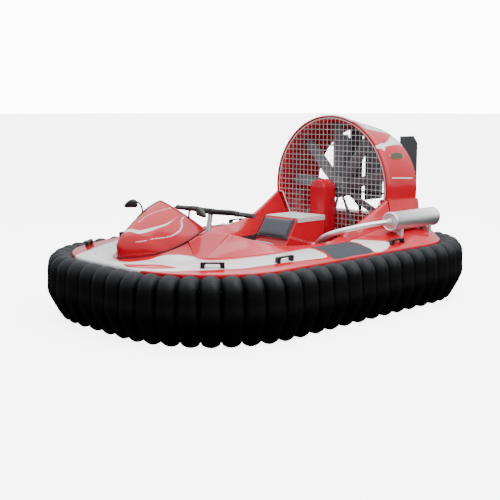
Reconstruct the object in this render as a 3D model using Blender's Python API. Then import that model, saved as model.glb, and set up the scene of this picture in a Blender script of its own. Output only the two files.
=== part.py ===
"""Small single-seat integrated hovercraft.

One fan at the stern drives the craft and fills the segmented skirt. Metres, +X to the
bow, +Y to port, +Z up. The origin is on the floor under the middle of the craft.
"""

import math

import bmesh
import bpy
import numpy as np
from mathutils import Matrix, Vector

# Clearance between solids that touch
GAP = 0.0003

# Skirt: widest outline, a rectangle with round corners
BOW_X, STERN_X, HALF_BEAM = 1.476, -1.476, 1.029
BOW_RADIUS, STERN_RADIUS = 0.815, 0.722
SKIRT_SEGMENTS, SKIRT_PARTS = 64, 4
SEGMENT_SHOULDERS = (0.0, 0.25, 0.75)

# Deck: lip and crown
DECK_INSET, DECK_BASE_Z, DECK_EDGE_Z = 0.165, 0.390, 0.414
CROWN_SHARE, CROWN_RISE = 0.28, 0.55

# Hull under the deck
HULL_TOP_Z, HULL_FLOOR_Z, HULL_BOTTOM_Z = DECK_BASE_Z, 0.200, 0.115
SKID_Y, SKID_WIDTH, SKID_FRONT, SKID_REAR = 0.36, 0.09, 0.80, -0.90

# Fan, duct and guard
FAN_Z, FAN_X, FAN_RADIUS, FAN_BLADES, FAN_PHASE = 0.755, -0.845, 0.472, 9, math.radians(4)
DUCT_FRONT_X, DUCT_REAR_X, BORE_RADIUS = -0.711, -1.106, 0.487
GUARD_X, GUARD_THICKNESS, GUARD_PITCH, GUARD_WIRE = -0.716, 0.005, 0.0975, 0.004
GUARD_SEAT_X = GUARD_X - GUARD_THICKNESS - GAP
PIT_REAR_X, THRUST_FLOOR_Z = -0.98, 0.552

# Rudders, the rails across the outlet and the knuckles on them that the rudders turn on
RUDDER_X, RUDDER_Y, RUDDER_CHORD, RUDDER_LEAD = -1.157, 0.33, 0.231, 0.012
RUDDER_BOTTOM, RUDDER_TOP, RUDDER_HALF_THICK = 0.635, 1.142, 0.011
RAILS = (("upper", 1.060, 0.380), ("lower", 0.700, 0.480))
RAIL_DEPTH, RAIL_HALF_HEIGHT, KNUCKLE_RADIUS, KNUCKLE_HALF_HEIGHT = 0.024, 0.006, 0.0095, 0.012

# Steering column: its top and its rake
COLUMN_TOP = Vector((0.488, 0.0, 0.650))
COLUMN_RAKE = math.radians(11.5)
BAR_REACH, GRIP_LENGTH, GRIP_RADIUS = 0.385, 0.118, 0.0165

# Engine cover, seat and belt guard
COVER_FRONT_X, COVER_REAR_X, COVER_HALF, COVER_TOP_Z = -0.199, -0.486, 0.155, 0.577
COVER_SLOPE, COVER_WALL = 0.67, 0.008
TOWER_FRONT_X, TOWER_REAR_X, TOWER_HALF = -0.578, -0.708, 0.072
SEAT_HALF, SEAT_FRONT_X = 0.150, 0.300

# Exhaust
MUFFLER_Y, MUFFLER_Z, MUFFLER_RADIUS = 0.700, 0.573, 0.069
MUFFLER_FRONT_X, MUFFLER_REAR_X = -0.545, -1.065

# Body line by station: x, foot of the side (x, y, z), top edge (y, z), inner wall at the deck (y)
BODY_LINE = (
    (1.268, 1.268, 0.150, 0.430, 0.020, 0.434, 0.00),
    (1.239, 1.239, 0.262, 0.436, 0.020, 0.442, 0.00),
    (1.200, 1.200, 0.300, 0.441, 0.064, 0.444, 0.00),
    (1.139, 1.139, 0.330, 0.445, 0.130, 0.452, 0.00),
    (1.091, 1.091, 0.350, 0.448, 0.192, 0.474, 0.00),
    (1.035, 1.035, 0.372, 0.450, 0.247, 0.498, 0.00),
    (0.960, 0.960, 0.405, 0.452, 0.312, 0.548, 0.27),
    (0.840, 0.938, 0.415, 0.453, 0.349, 0.616, 0.29),
    (0.700, 0.914, 0.427, 0.453, 0.412, 0.580, 0.34),
    (0.588, 0.720, 0.538, 0.456, 0.450, 0.545, 0.38),
    (0.411, 0.470, 0.610, 0.460, 0.500, 0.492, 0.42),
    (0.250, 0.250, 0.612, 0.460, 0.545, 0.470, 0.44),
    (0.000, 0.000, 0.605, 0.460, 0.556, 0.464, 0.44),
    (-0.150, -0.150, 0.585, 0.461, 0.532, 0.466, 0.44),
    (-0.300, -0.300, 0.565, 0.466, 0.507, 0.508, 0.43),
    (-0.420, -0.420, 0.562, 0.480, 0.505, 0.546, 0.41),
    (-0.560, -0.560, 0.575, 0.512, 0.523, 0.617, 0.38),
    (-0.7105, -0.7105, 0.600, 0.520, 0.538, 0.6995, 0.344),
)
RIDGE_HALF = 0.014

# Tail block by station: x, foot (y, z), top (y)
TAIL_LINE = (
    (GUARD_SEAT_X, 0.599, 0.520, 0.555),
    (-0.900, 0.595, 0.515, 0.548),
    (-1.106, 0.575, 0.490, 0.536),
)

# Nose cowl by station: base x, crown x, crown z, squareness
COWL_WALL = 0.012
COWL_LINE = (
    (0.840, 0.905, 0.775, 1.15),
    (0.960, 1.030, 0.706, 1.15),
    (1.035, 1.110, 0.656, 1.20),
    (1.091, 1.165, 0.620, 1.30),
    (1.139, 1.213, 0.580, 1.40),
    (1.200, 1.245, 0.532, 1.50),
    (1.239, 1.250, 0.490, 1.60),
)

# Duct by station: x, outer half width, outer height, squareness, bore
DUCT_LINE = (
    (DUCT_FRONT_X, 0.545, 0.545, 2.00, 0.533),
    (GUARD_SEAT_X, 0.549, 0.549, 2.00, 0.533),
    (GUARD_SEAT_X, 0.549, 0.549, 2.00, 0.505),
    (-0.780, 0.536, 0.536, 2.00, 0.489),
    (-0.860, 0.532, 0.517, 2.04, 0.487),
    (-0.960, 0.530, 0.495, 2.08, 0.474),
    (-1.106, 0.522, 0.465, 2.02, 0.446),
)

# Colours: name, base colour, roughness, metallic
PAINTS = {
    "red": ((0.62, 0.012, 0.016), 0.18, 0.0),
    "rubber": ((0.012, 0.012, 0.013), 0.55, 0.0),
    "hull": ((0.10, 0.10, 0.11), 0.5, 0.0),
    "black": ((0.02, 0.02, 0.022), 0.45, 0.0),
    "grip": ((0.16, 0.17, 0.18), 0.6, 0.0),
    "pad": ((0.13, 0.14, 0.16), 0.6, 0.0),
    "cushion": ((0.42, 0.45, 0.50), 0.7, 0.0),
    "alloy": ((0.72, 0.72, 0.74), 0.28, 1.0),
    "wire": ((0.70, 0.70, 0.72), 0.35, 1.0),
    "iron": ((0.10, 0.10, 0.10), 0.5, 0.6),
    "composite": ((0.45, 0.46, 0.48), 0.45, 0.0),
    "rudder": ((0.11, 0.115, 0.13), 0.5, 0.0),
}


def clear_scene():
    for item in list(bpy.data.objects):
        bpy.data.objects.remove(item, do_unlink=True)


def paint(name):
    material = bpy.data.materials.get(name)
    if material is None:
        colour, roughness, metallic = PAINTS[name]
        material = bpy.data.materials.new(name)
        material.use_nodes = True
        shader = material.node_tree.nodes["Principled BSDF"]
        shader.inputs["Base Color"].default_value = (*colour, 1.0)
        shader.inputs["Roughness"].default_value = roughness
        shader.inputs["Metallic"].default_value = metallic
    return material


def solid(name, points, faces, colour, crease=35.0, origin=(0.0, 0.0, 0.0)):
    """Object from points in the craft's frame; its origin is put at the given place."""
    mesh = bpy.data.meshes.new(name)
    home = Vector(origin)
    mesh.from_pydata([Vector(p) - home for p in points], [], faces)
    work = bmesh.new()
    work.from_mesh(mesh)
    bmesh.ops.remove_doubles(work, verts=work.verts, dist=1e-6)
    bmesh.ops.recalc_face_normals(work, faces=work.faces)
    work.to_mesh(mesh)
    work.free()
    mesh.shade_smooth()
    mesh.set_sharp_from_angle(angle=math.radians(crease))
    mesh.materials.append(paint(colour))
    item = bpy.data.objects.new(name, mesh)
    item.location = home
    bpy.context.collection.objects.link(item)
    return item


def loft(rings, closed=False):
    """Faces through rings of equal length; the ends are capped unless the loft closes."""
    count, size = len(rings), len(rings[0])
    points = [point for ring in rings for point in ring]
    faces = []
    for i in range(count if closed else count - 1):
        here, there = i * size, (i + 1) % count * size
        for j in range(size):
            k = (j + 1) % size
            faces.append((here + j, here + k, there + k, there + j))
    if not closed:
        faces.append(tuple(range(size)))
        faces.append(tuple(range((count - 1) * size, count * size)))
    return points, faces


def lofted(name, rings, colour, crease=35.0, origin=(0.0, 0.0, 0.0), closed=False):
    points, faces = loft(rings, closed)
    return solid(name, points, faces, colour, crease, origin)


def block(name, low, high, colour):
    rings = [[(x, low[1], low[2]), (x, high[1], low[2]), (x, high[1], high[2]), (x, low[1], high[2])]
             for x in (low[0], high[0])]
    return lofted(name, rings, colour)


def bevel(item, width, segments=2):
    mod = item.modifiers.new("edge", "BEVEL")
    mod.width = width
    mod.segments = segments
    mod.limit_method = "ANGLE"
    mod.angle_limit = math.radians(40)


def combine(item, other, operation):
    """Boolean with another object, which is then kept as a hidden cutter."""
    mod = item.modifiers.new(operation.lower(), "BOOLEAN")
    mod.operation = operation
    mod.object = other
    mod.solver = "EXACT"
    other.hide_render = True
    other.display_type = "WIRE"


def seat_on(item, ground):
    """Cut off what would enter the ground that carries the item, a touch above it."""
    cutter = bpy.data.objects.new("cut_under_" + item.name, ground.data)
    cutter.location = ground.location + Vector((0.0, 0.0, GAP))
    bpy.context.collection.objects.link(cutter)
    combine(item, cutter, "DIFFERENCE")


def circle(centre, axis, radius, sides):
    """Points of a circle about a direction."""
    axis = Vector(axis).normalized()
    across = axis.orthogonal().normalized()
    up = axis.cross(across)
    return [Vector(centre) + radius * (math.cos(a) * across + math.sin(a) * up)
            for a in (2 * math.pi * k / sides for k in range(sides))]


def smooth_path(points, steps):
    """Catmull-Rom curve through the points."""
    points = [Vector(p) for p in points]
    ends = [2 * points[0] - points[1], *points, 2 * points[-1] - points[-2]]
    path = []
    for i in range(1, len(ends) - 2):
        a, b, c, d = ends[i - 1:i + 3]
        for k in range(steps):
            t = k / steps
            path.append(0.5 * (2 * b + (c - a) * t + (2 * a - 5 * b + 4 * c - d) * t * t
                               + (3 * b - a - 3 * c + d) * t ** 3))
    return [*path, points[-1]]


def tube(name, path, radii, colour, sides=12, crease=35.0, origin=(0.0, 0.0, 0.0)):
    """Round tube along a path; a radius may be one number or one for each point."""
    path = [Vector(p) for p in path]
    if not hasattr(radii, "__len__"):
        radii = [radii] * len(path)
    tangent = (path[1] - path[0]).normalized()
    across = tangent.orthogonal().normalized()
    rings = []
    for i, point in enumerate(path):
        before, after = path[max(i - 1, 0)], path[min(i + 1, len(path) - 1)]
        turned = (after - before).normalized()
        across = tangent.rotation_difference(turned) @ across
        tangent = turned
        up = tangent.cross(across)
        rings.append([point + radii[i] * (math.cos(a) * across + math.sin(a) * up)
                      for a in (2 * math.pi * k / sides for k in range(sides))])
    return lofted(name, rings, colour, crease, origin)


class Outline:
    """Rounded-rectangle outline of the craft, read by length or by bearing."""

    def __init__(self, steps=48):
        points, normals = [], []
        corners = ((BOW_X - BOW_RADIUS, HALF_BEAM - BOW_RADIUS, BOW_RADIUS, 0.0),
                   (STERN_X + STERN_RADIUS, HALF_BEAM - STERN_RADIUS, STERN_RADIUS, 90.0),
                   (STERN_X + STERN_RADIUS, STERN_RADIUS - HALF_BEAM, STERN_RADIUS, 180.0),
                   (BOW_X - BOW_RADIUS, BOW_RADIUS - HALF_BEAM, BOW_RADIUS, 270.0))
        points.append((BOW_X, 0.0))
        normals.append((1.0, 0.0))
        for x, y, radius, start in corners:
            if points[-1] != (BOW_X, 0.0):
                normal = (math.cos(math.radians(start)), math.sin(math.radians(start)))
                run = np.linspace(points[-1], (x + radius * normal[0], y + radius * normal[1]), 13)[1:-1]
                points += [tuple(place) for place in run]
                normals += [normal] * len(run)
            for angle in np.radians(np.linspace(start, start + 90.0, steps + 1)):
                normal = (math.cos(angle), math.sin(angle))
                points.append((x + radius * normal[0], y + radius * normal[1]))
                normals.append(normal)
        points.append((BOW_X, 0.0))
        normals.append((1.0, 0.0))
        self.points, self.normals = np.array(points), np.array(normals)
        self.length = np.r_[0.0, np.cumsum(np.linalg.norm(np.diff(self.points, axis=0), axis=1))]

    def at(self, share, inset, z):
        """Point at a share of the way round, set in along the normal."""
        where = share % 1.0 * self.length[-1]
        inner = self.points - inset * self.normals
        return (float(np.interp(where, self.length, inner[:, 0])),
                float(np.interp(where, self.length, inner[:, 1])), z)

    def bearing(self, angle, inset, z):
        """Point where a ray from the origin meets the outline, set in along the normal."""
        inner = self.points - inset * self.normals
        angles = np.unwrap(np.arctan2(inner[:, 1], inner[:, 0]))
        reach = np.interp(angle % (2 * math.pi), angles, np.linalg.norm(inner, axis=1))
        return (float(reach * math.cos(angle)), float(reach * math.sin(angle)), z)


OUTLINE = Outline()


def make_skirt():
    """Four runs of rubber segments, each scalloped at its creases and open inboard.

    Section columns: inset, height, and how far a crease draws the point in and up.
    """
    section = (
        (0.195, DECK_BASE_Z - GAP, 0.000, 0.000),
        (0.166, DECK_BASE_Z - GAP, 0.000, 0.000),
        (0.108, 0.411, 0.003, -0.024),
        (0.062, 0.411, 0.008, -0.034),
        (0.022, 0.380, 0.016, -0.022),
        (0.003, 0.339, 0.024, -0.010),
        (0.000, 0.173, 0.028, 0.000),
        (0.040, 0.085, 0.022, 0.004),
        (0.078, 0.018, 0.016, 0.016),
        (0.098, 0.000, 0.010, 0.028),
        (0.120, 0.000, 0.000, 0.028),
        (0.125, 0.040, 0.000, 0.012),
        (0.070, 0.140, 0.000, 0.000),
        (0.056, 0.335, 0.000, 0.000),
        (0.195, 0.368, 0.000, 0.000),
    )
    names = ("skirt_bow", "skirt_port", "skirt_stern", "skirt_starboard")
    each = SKIRT_SEGMENTS // SKIRT_PARTS
    for part, name in enumerate(names):
        first = (part - 0.5) * each
        columns = [first + k + s for k in range(each) for s in SEGMENT_SHOULDERS]
        columns[0] += GAP
        columns.append(first + each - GAP)
        rings = []
        for column in columns:
            near = abs(column - round(column))
            depth = 1.0 if near < 0.01 else 0.0
            rings.append([OUTLINE.at(column / SKIRT_SEGMENTS, inset + depth * draw, z + depth * lift)
                          for inset, z, draw, lift in section])
        lofted(name, rings, "rubber", crease=60.0)


def inner_outline():
    """Outline of the body's foot on the deck: x, y, z from bow to port, stern and starboard."""
    port = [row[1:4] for row in BODY_LINE] + [row[:3] for row in TAIL_LINE[1:]]
    port[0] = (port[0][0] + 2 * GAP, *port[0][1:])
    port[-1] = (port[-1][0] - 2 * GAP, *port[-1][1:])
    return port + [(x, -y, z) for x, y, z in reversed(port)]


def ray_meets(outline, angle):
    """Place where a ray from the origin meets a closed outline of x, y, z points."""
    direction = (math.cos(angle), math.sin(angle))
    for a, b in zip(outline, outline[1:] + outline[:1]):
        dx, dy = b[0] - a[0], b[1] - a[1]
        cross = direction[0] * dy - direction[1] * dx
        if abs(cross) < 1e-12:
            continue
        reach = (a[0] * dy - a[1] * dx) / cross
        along = (a[0] * direction[1] - a[1] * direction[0]) / cross
        if reach > 0 and -1e-9 <= along <= 1 + 1e-9:
            return reach * direction[0], reach * direction[1], a[2] + along * (b[2] - a[2])
    raise ValueError("no crossing")


def make_deck():
    """Crowned deck from its lip to the foot of the body, open in the middle."""
    foot = inner_outline()
    angles = {round(math.atan2(y, x) % (2 * math.pi), 9) for x, y, _ in foot}
    for share in np.linspace(0.0, 1.0, 56, endpoint=False):
        x, y, _ = OUTLINE.at(float(share), DECK_INSET, 0.0)
        angle = round(math.atan2(y, x) % (2 * math.pi), 9)
        if min(abs(angle - other) for other in angles) > 0.02:
            angles.add(angle)
    rings = []
    for angle in sorted(angles):
        x, y, z = ray_meets(foot, angle)
        edge = OUTLINE.bearing(angle, DECK_INSET + 0.006, DECK_EDGE_Z)
        crown = tuple(edge[i] + CROWN_SHARE * ((x, y)[i] - edge[i]) for i in range(2))
        rings.append([
            OUTLINE.bearing(angle, DECK_INSET + 0.004, DECK_BASE_Z),
            OUTLINE.bearing(angle, DECK_INSET, DECK_BASE_Z + 0.006),
            OUTLINE.bearing(angle, DECK_INSET, DECK_EDGE_Z - 0.006),
            edge,
            (*crown, DECK_EDGE_Z + CROWN_RISE * (z - DECK_EDGE_Z)),
            (x, y, z),
            (x, y, DECK_BASE_Z),
        ])
    deck = lofted("deck", rings, "red", closed=True)
    work = bmesh.new()
    work.from_mesh(deck.data)
    bmesh.ops.triangulate(work, faces=work.faces)
    work.to_mesh(deck.data)
    work.free()
    return deck


def make_hull():
    """Foam-filled planing hull with a cockpit well, a fan pit and the lift air slot."""
    sections = ((0.205, HULL_TOP_Z - GAP), (0.215, 0.300), (0.300, 0.140), (0.330, HULL_BOTTOM_Z))
    shares = np.linspace(0.0, 1.0, 48, endpoint=False)
    rings = [[OUTLINE.at(float(s), inset, z) for s in shares] for inset, z in sections]
    hull = lofted("hull_lower", rings, "hull")
    over = HULL_TOP_Z + 0.05
    top = [(row[0], row[-1]) for row in BODY_LINE if row[-1] > 0]
    top[-1] = (GUARD_SEAT_X - GAP, top[-1][1])
    plan = top + [(x, -y) for x, y in reversed(top)]
    walls = [[(x, y * 0.90, HULL_FLOOR_Z) for x, y in plan], [(x, y, HULL_TOP_Z) for x, y in plan],
             [(x, y, over) for x, y in plan]]
    combine(hull, lofted("cut_well", walls, "hull"), "DIFFERENCE")
    pit = [circle((x, 0, FAN_Z), (1, 0, 0), BORE_RADIUS, 48) for x in (GUARD_X + 0.02, PIT_REAR_X)]
    combine(hull, lofted("cut_pit", pit, "hull"), "DIFFERENCE")
    slot = block("cut_slot", (PIT_REAR_X + 0.02, -0.20, 0.05), (GUARD_X - 0.06, 0.20, 0.35), "hull")
    combine(hull, slot, "DIFFERENCE")
    half = SKID_WIDTH / 2
    for side, name in ((1, "landing_skid_port"), (-1, "landing_skid_starboard")):
        ends = ((SKID_FRONT, 0.085), (SKID_FRONT - 0.16, 0.0), (SKID_REAR + 0.10, 0.0), (SKID_REAR, 0.060))
        rings = [[(x, side * SKID_Y - half, HULL_BOTTOM_Z - GAP), (x, side * SKID_Y + half, HULL_BOTTOM_Z - GAP),
                  (x, side * SKID_Y + 0.7 * half, z), (x, side * SKID_Y - 0.7 * half, z)] for x, z in ends]
        lofted(name, rings, "hull")


def make_body():
    """Port and starboard sides of the cockpit, the plinth under the cowl and the tail block."""
    foot = DECK_BASE_Z + GAP
    sides = [row for row in BODY_LINE if row[-1] > 0]
    for side, name in ((1, "body_side_port"), (-1, "body_side_starboard")):
        rings = []
        for x, base_x, base_y, base_z, top_y, top_z, wall_y in sides:
            base_y -= 0.001
            outer = min(top_y + RIDGE_HALF, base_y - 0.004)
            rings.append([(px, side * y, z) for px, y, z in (
                (base_x, base_y, foot), (base_x, base_y, base_z), (x, outer, top_z - 0.002), (x, top_y, top_z),
                (x, top_y - RIDGE_HALF, top_z - 0.003), (x, wall_y, foot))])
        lofted(name, rings, "red", crease=20.0)
    rings = []
    for x, _, base_y, base_z, top_y, top_z, _ in BODY_LINE:
        if x < sides[0][0]:
            break
        x = x + GAP if x == sides[0][0] else x
        half = [(base_y - 0.001, foot), (base_y - 0.001, base_z), (top_y, top_z)]
        rings.append([(x, y, z) for y, z in half] + [(x, -y, z) for y, z in reversed(half)])
    lofted("bow_plinth", rings, "red", crease=20.0)
    rings = []
    for x, base_y, base_z, top_y in TAIL_LINE:
        half = [(base_y - 0.001, foot), (base_y - 0.001, base_z), (top_y, seam_z(x) - GAP)]
        rings.append([(x, y, z) for y, z in half] + [(x, -y, z) for y, z in reversed(half)])
    tail = lofted("tail_body", rings, "red", crease=20.0)
    pit = [circle((x, 0, FAN_Z), (1, 0, 0), BORE_RADIUS, 48) for x in (TAIL_LINE[0][0] + 0.05, PIT_REAR_X)]
    combine(tail, lofted("cut_tail_pit", pit, "red"), "DIFFERENCE")
    bore = DUCT_LINE[-1][-1]
    outlet = [[(x, y, z) for y, z in arch(bore, bore, 2.0, THRUST_FLOOR_Z, THRUST_FLOOR_Z)]
              for x in (PIT_REAR_X + 0.02, DUCT_REAR_X - 0.05)]
    combine(tail, lofted("cut_outlet", outlet, "red"), "DIFFERENCE")


def arch(half, height, power, port_z, starboard_z, steps=40):
    """Superellipse about the fan's axis from a height on one side over the top to the other."""
    def low(z):
        drop = min(abs(z - FAN_Z) / height, 1.0)
        return -math.asin(drop ** (power / 2)) if z < FAN_Z else 0.0
    angles = np.linspace(low(port_z), math.pi - low(starboard_z), steps + 1)
    ring = []
    for a in angles:
        c, s = math.cos(a), math.sin(a)
        ring.append((half * math.copysign(abs(c) ** (2 / power), c),
                     FAN_Z + height * math.copysign(abs(s) ** (2 / power), s)))
    return ring


def seam_z(x):
    """Height of the seam between the duct shell and the tail block."""
    return 0.700 - 0.0105 * (x - DUCT_FRONT_X) / (DUCT_REAR_X - DUCT_FRONT_X)


def make_duct():
    """Duct shell above the body, with its flared lip and a round bore to the outlet."""
    rings = []
    for x, half, height, power, bore in DUCT_LINE:
        seam = seam_z(x)
        outer = arch(half, height, power, seam, seam)
        inner = arch(bore, bore, 2.0, seam, seam)
        rings.append([(x, y, z) for y, z in outer + inner[::-1]])
    lofted("duct_shell", rings, "red", crease=30.0)


def guard_outline(shrink):
    """Outline of the fan guard in y and z: a round top on a funnel-shaped foot."""
    radius = 0.529 - shrink
    start = -math.asin((FAN_Z - 0.700) / radius)
    top = [(radius * math.cos(a), FAN_Z + radius * math.sin(a))
           for a in np.linspace(start, math.pi - start, 49)]
    foot = [(0.493, 0.696), (0.336, 0.392), (0.250, 0.225)]
    left = [(-(y - shrink), z + shrink) for y, z in foot]
    right = [(y - shrink, z + shrink) for y, z in reversed(foot)]
    return top + left + right


def make_guard():
    """Welded wire guard: square mesh in a rim, at twice the real pitch."""
    def plate(name, shrink, x_low, x_high):
        ring = guard_outline(shrink)
        return lofted(name, [[(x, y, z) for y, z in ring] for x in (x_low, x_high)], "wire")
    guard = plate("fan_guard", 0.0, GUARD_X - GUARD_THICKNESS, GUARD_X)
    points, faces = [], []
    count = int(0.6 / GUARD_PITCH)
    half = GUARD_PITCH / 2 - GUARD_WIRE / 2
    for i in range(-count, count + 1):
        for j in range(-count, count + 1):
            y, z = i * GUARD_PITCH, FAN_Z + j * GUARD_PITCH
            rings = [[(x, y - half, z - half), (x, y + half, z - half), (x, y + half, z + half),
                      (x, y - half, z + half)] for x in (GUARD_X - 0.02, GUARD_X + 0.02)]
            if i == 0 and j == 0:
                continue
            cell_points, cell_faces = loft(rings)
            faces += [tuple(k + len(points) for k in face) for face in cell_faces]
            points += cell_points
    cells = solid("cut_cells", points, faces, "wire")
    inside = plate("cut_inside", 0.012, GUARD_X - 0.03, GUARD_X + 0.03)
    combine(cells, inside, "INTERSECT")
    combine(guard, cells, "DIFFERENCE")
    hole = lofted("cut_hub", [circle((x, 0, FAN_Z), (1, 0, 0), 0.0165, 16)
                              for x in (GUARD_X - 0.03, GUARD_X + 0.03)], "wire")
    combine(guard, hole, "DIFFERENCE")


def make_fan():
    """Shaft fixed to the belt guard and the fan that turns on it."""
    shaft_end = FAN_X + 0.045
    tube("fan_shaft", [(TOWER_REAR_X - GAP, 0, FAN_Z), (shaft_end, 0, FAN_Z)], 0.016, "iron", 16)
    profile = ((shaft_end - 0.0003, 0.062), (FAN_X + 0.030, 0.078), (FAN_X - 0.030, 0.078),
               (FAN_X - 0.050, 0.055), (FAN_X - 0.058, 0.020))
    home = (FAN_X, 0.0, FAN_Z)
    rings = [circle((x, 0, FAN_Z), (1, 0, 0), radius, 36) for x, radius in profile]
    fan = lofted("fan", rings, "composite", origin=home)
    points, faces = [], []
    stations = ((0.060, 0.050, 48.0), (0.180, 0.066, 36.0), (0.320, 0.064, 27.0), (FAN_RADIUS, 0.050, 21.0))
    for blade in range(FAN_BLADES):
        turn = Matrix.Rotation(2 * math.pi * blade / FAN_BLADES + FAN_PHASE, 3, "X")
        rings = []
        for radius, half_chord, pitch in stations:
            twist = Matrix.Rotation(math.radians(-pitch), 3, "Z")
            ring = []
            for along, thick in ((-1.0, 0.0), (-0.35, 0.075), (0.45, 0.07), (1.0, 0.008), (0.4, -0.035),
                                 (-0.4, -0.045)):
                flat = twist @ Vector((along * half_chord, thick * half_chord * 1.6, 0.0))
                ring.append(Vector(home) + turn @ Vector((flat.y, flat.x, radius)))
            rings.append(ring)
        blade_points, blade_faces = loft(rings)
        faces += [tuple(k + len(points) for k in face) for face in blade_faces]
        points += blade_points
    combine(fan, solid("join_blades", points, faces, "composite", origin=home), "UNION")


def make_rudders():
    """Three rudders hung on knuckles of two rails, and the fixed fin ahead of the middle one."""
    rail_front = DUCT_REAR_X - GAP
    places = (("rudder_port", RUDDER_Y), ("rudder_centre", 0.0), ("rudder_starboard", -RUDDER_Y))
    for where, z, reach in RAILS:
        low, high = z - RAIL_HALF_HEIGHT, z + RAIL_HALF_HEIGHT
        rail = block(f"rudder_rail_{where}", (rail_front - RAIL_DEPTH, -reach, low), (rail_front, reach, high), "black")
        for name, y in places:
            knuckle = [circle((RUDDER_X, y, z + d), (0, 0, 1), KNUCKLE_RADIUS, 20)
                       for d in (-KNUCKLE_HALF_HEIGHT, KNUCKLE_HALF_HEIGHT)]
            arm = block(f"join_arm_{where}_{name}", (RUDDER_X, y - 0.006, low + 0.0005),
                        (rail_front - RAIL_DEPTH / 2, y + 0.006, high - 0.0005), "black")
            combine(rail, arm, "UNION")
            combine(rail, lofted(f"join_knuckle_{where}_{name}", knuckle, "black"), "UNION")
    for name, y in places:
        front, rear = RUDDER_X + RUDDER_LEAD, RUDDER_X + RUDDER_LEAD - RUDDER_CHORD
        rings = []
        for z, back in ((RUDDER_BOTTOM, 0.0), (RUDDER_TOP - 0.055, 0.0), (RUDDER_TOP, 0.052)):
            tail = rear + back
            rings.append([(front, y, z), (front - 0.02, y + RUDDER_HALF_THICK, z), (tail + 0.03, y + 0.006, z),
                          (tail, y, z), (tail + 0.03, y - 0.006, z), (front - 0.02, y - RUDDER_HALF_THICK, z)])
        rudder = lofted(name, rings, "rudder", origin=(RUDDER_X, y, RUDDER_BOTTOM))
        for where, z, _ in RAILS:
            half = KNUCKLE_HALF_HEIGHT + GAP
            notch = block(f"cut_{where}_{name}", (RUDDER_X - KNUCKLE_RADIUS - 0.0055, y - 0.03, z - half),
                          (front + 0.01, y + 0.03, z + half), "black")
            combine(rudder, notch, "DIFFERENCE")
    floor, roof = THRUST_FLOOR_Z + GAP, FAN_Z - 0.001
    front, rear = DUCT_LINE[-2][0], DUCT_REAR_X + 0.0005
    outline = ((rear + 0.028, floor), (rear, floor), (rear, roof + DUCT_LINE[-1][-1]), (front, roof + DUCT_LINE[-2][-1]),
               (front, 0.700), (rear + 0.028, floor + 0.030))
    lofted("duct_fin", [[(x, y, z) for x, z in outline] for y in (-0.006, 0.006)], "black")


def make_cowl():
    """Nose cowl, a shell open below, with the dash panel on its rear wall."""
    def ring(base_x, half, base_z, crown_x, crown_z, power, steps=24):
        points = []
        for a in np.linspace(0.0, math.pi, steps + 1):
            c, s = math.cos(a), math.sin(a)
            rise = abs(s) ** (2 / power)
            points.append((base_x + rise * (crown_x - base_x),
                           half * math.copysign(abs(c) ** (2 / power), c),
                           base_z + rise * (crown_z - base_z)))
        return points
    line = []
    for base_x, crown_x, crown_z, power in COWL_LINE:
        top_y, top_z = next(row[4:6] for row in BODY_LINE if row[0] == base_x)
        line.append((base_x, top_y - 0.004, top_z + 0.001, crown_x, crown_z, power))
    cowl = lofted("nose_cowl", [ring(*row) for row in line], "red", crease=30.0)
    hollow = []
    for i, (base_x, half, base_z, crown_x, crown_z, power) in enumerate(line[:-2]):
        shift = COWL_WALL if i == 0 else -COWL_WALL / 3
        hollow.append(ring(base_x + shift, half - COWL_WALL, base_z - 0.03, crown_x + shift, crown_z - COWL_WALL,
                           power, 16))
    combine(cowl, lofted("cut_cowl", hollow, "red"), "DIFFERENCE")
    base_x, half, base_z, crown_x, crown_z, power = line[0]
    lean = (crown_x - base_x) / (crown_z - base_z)
    outline = ((0.22, base_z + 0.002), (0.22, base_z + 0.04), (0.10, base_z + 0.092), (-0.10, base_z + 0.092),
               (-0.22, base_z + 0.04), (-0.22, base_z + 0.002))
    rings = [[(base_x + lean * (z - base_z) - depth, y, z) for y, z in outline] for depth in (GAP, 0.012)]
    lofted("dash_panel", rings, "black")
    return cowl


def make_mirrors(cowl):
    """Each mirror is one sweep: a thin stem that opens into the housing."""
    for side, name in ((1, "mirror_port"), (-1, "mirror_starboard")):
        foot = Vector((0.874, side * 0.232, 0.650))
        head = Vector((0.880, side * 0.345, 0.722))
        elbow = Vector((0.878, side * 0.250, 0.722))
        path = smooth_path((foot, elbow, head - Vector((0, side * 0.035, 0))), 3)
        housing = [head + Vector((0.0, side * d, 0.0)) for d in (-0.018, 0.0, 0.025, 0.045)]
        radii = [0.007] * len(path) + [0.024, 0.032, 0.030, 0.014]
        seat_on(tube(name, [*path, *housing], radii, "black", 8), cowl)


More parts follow.
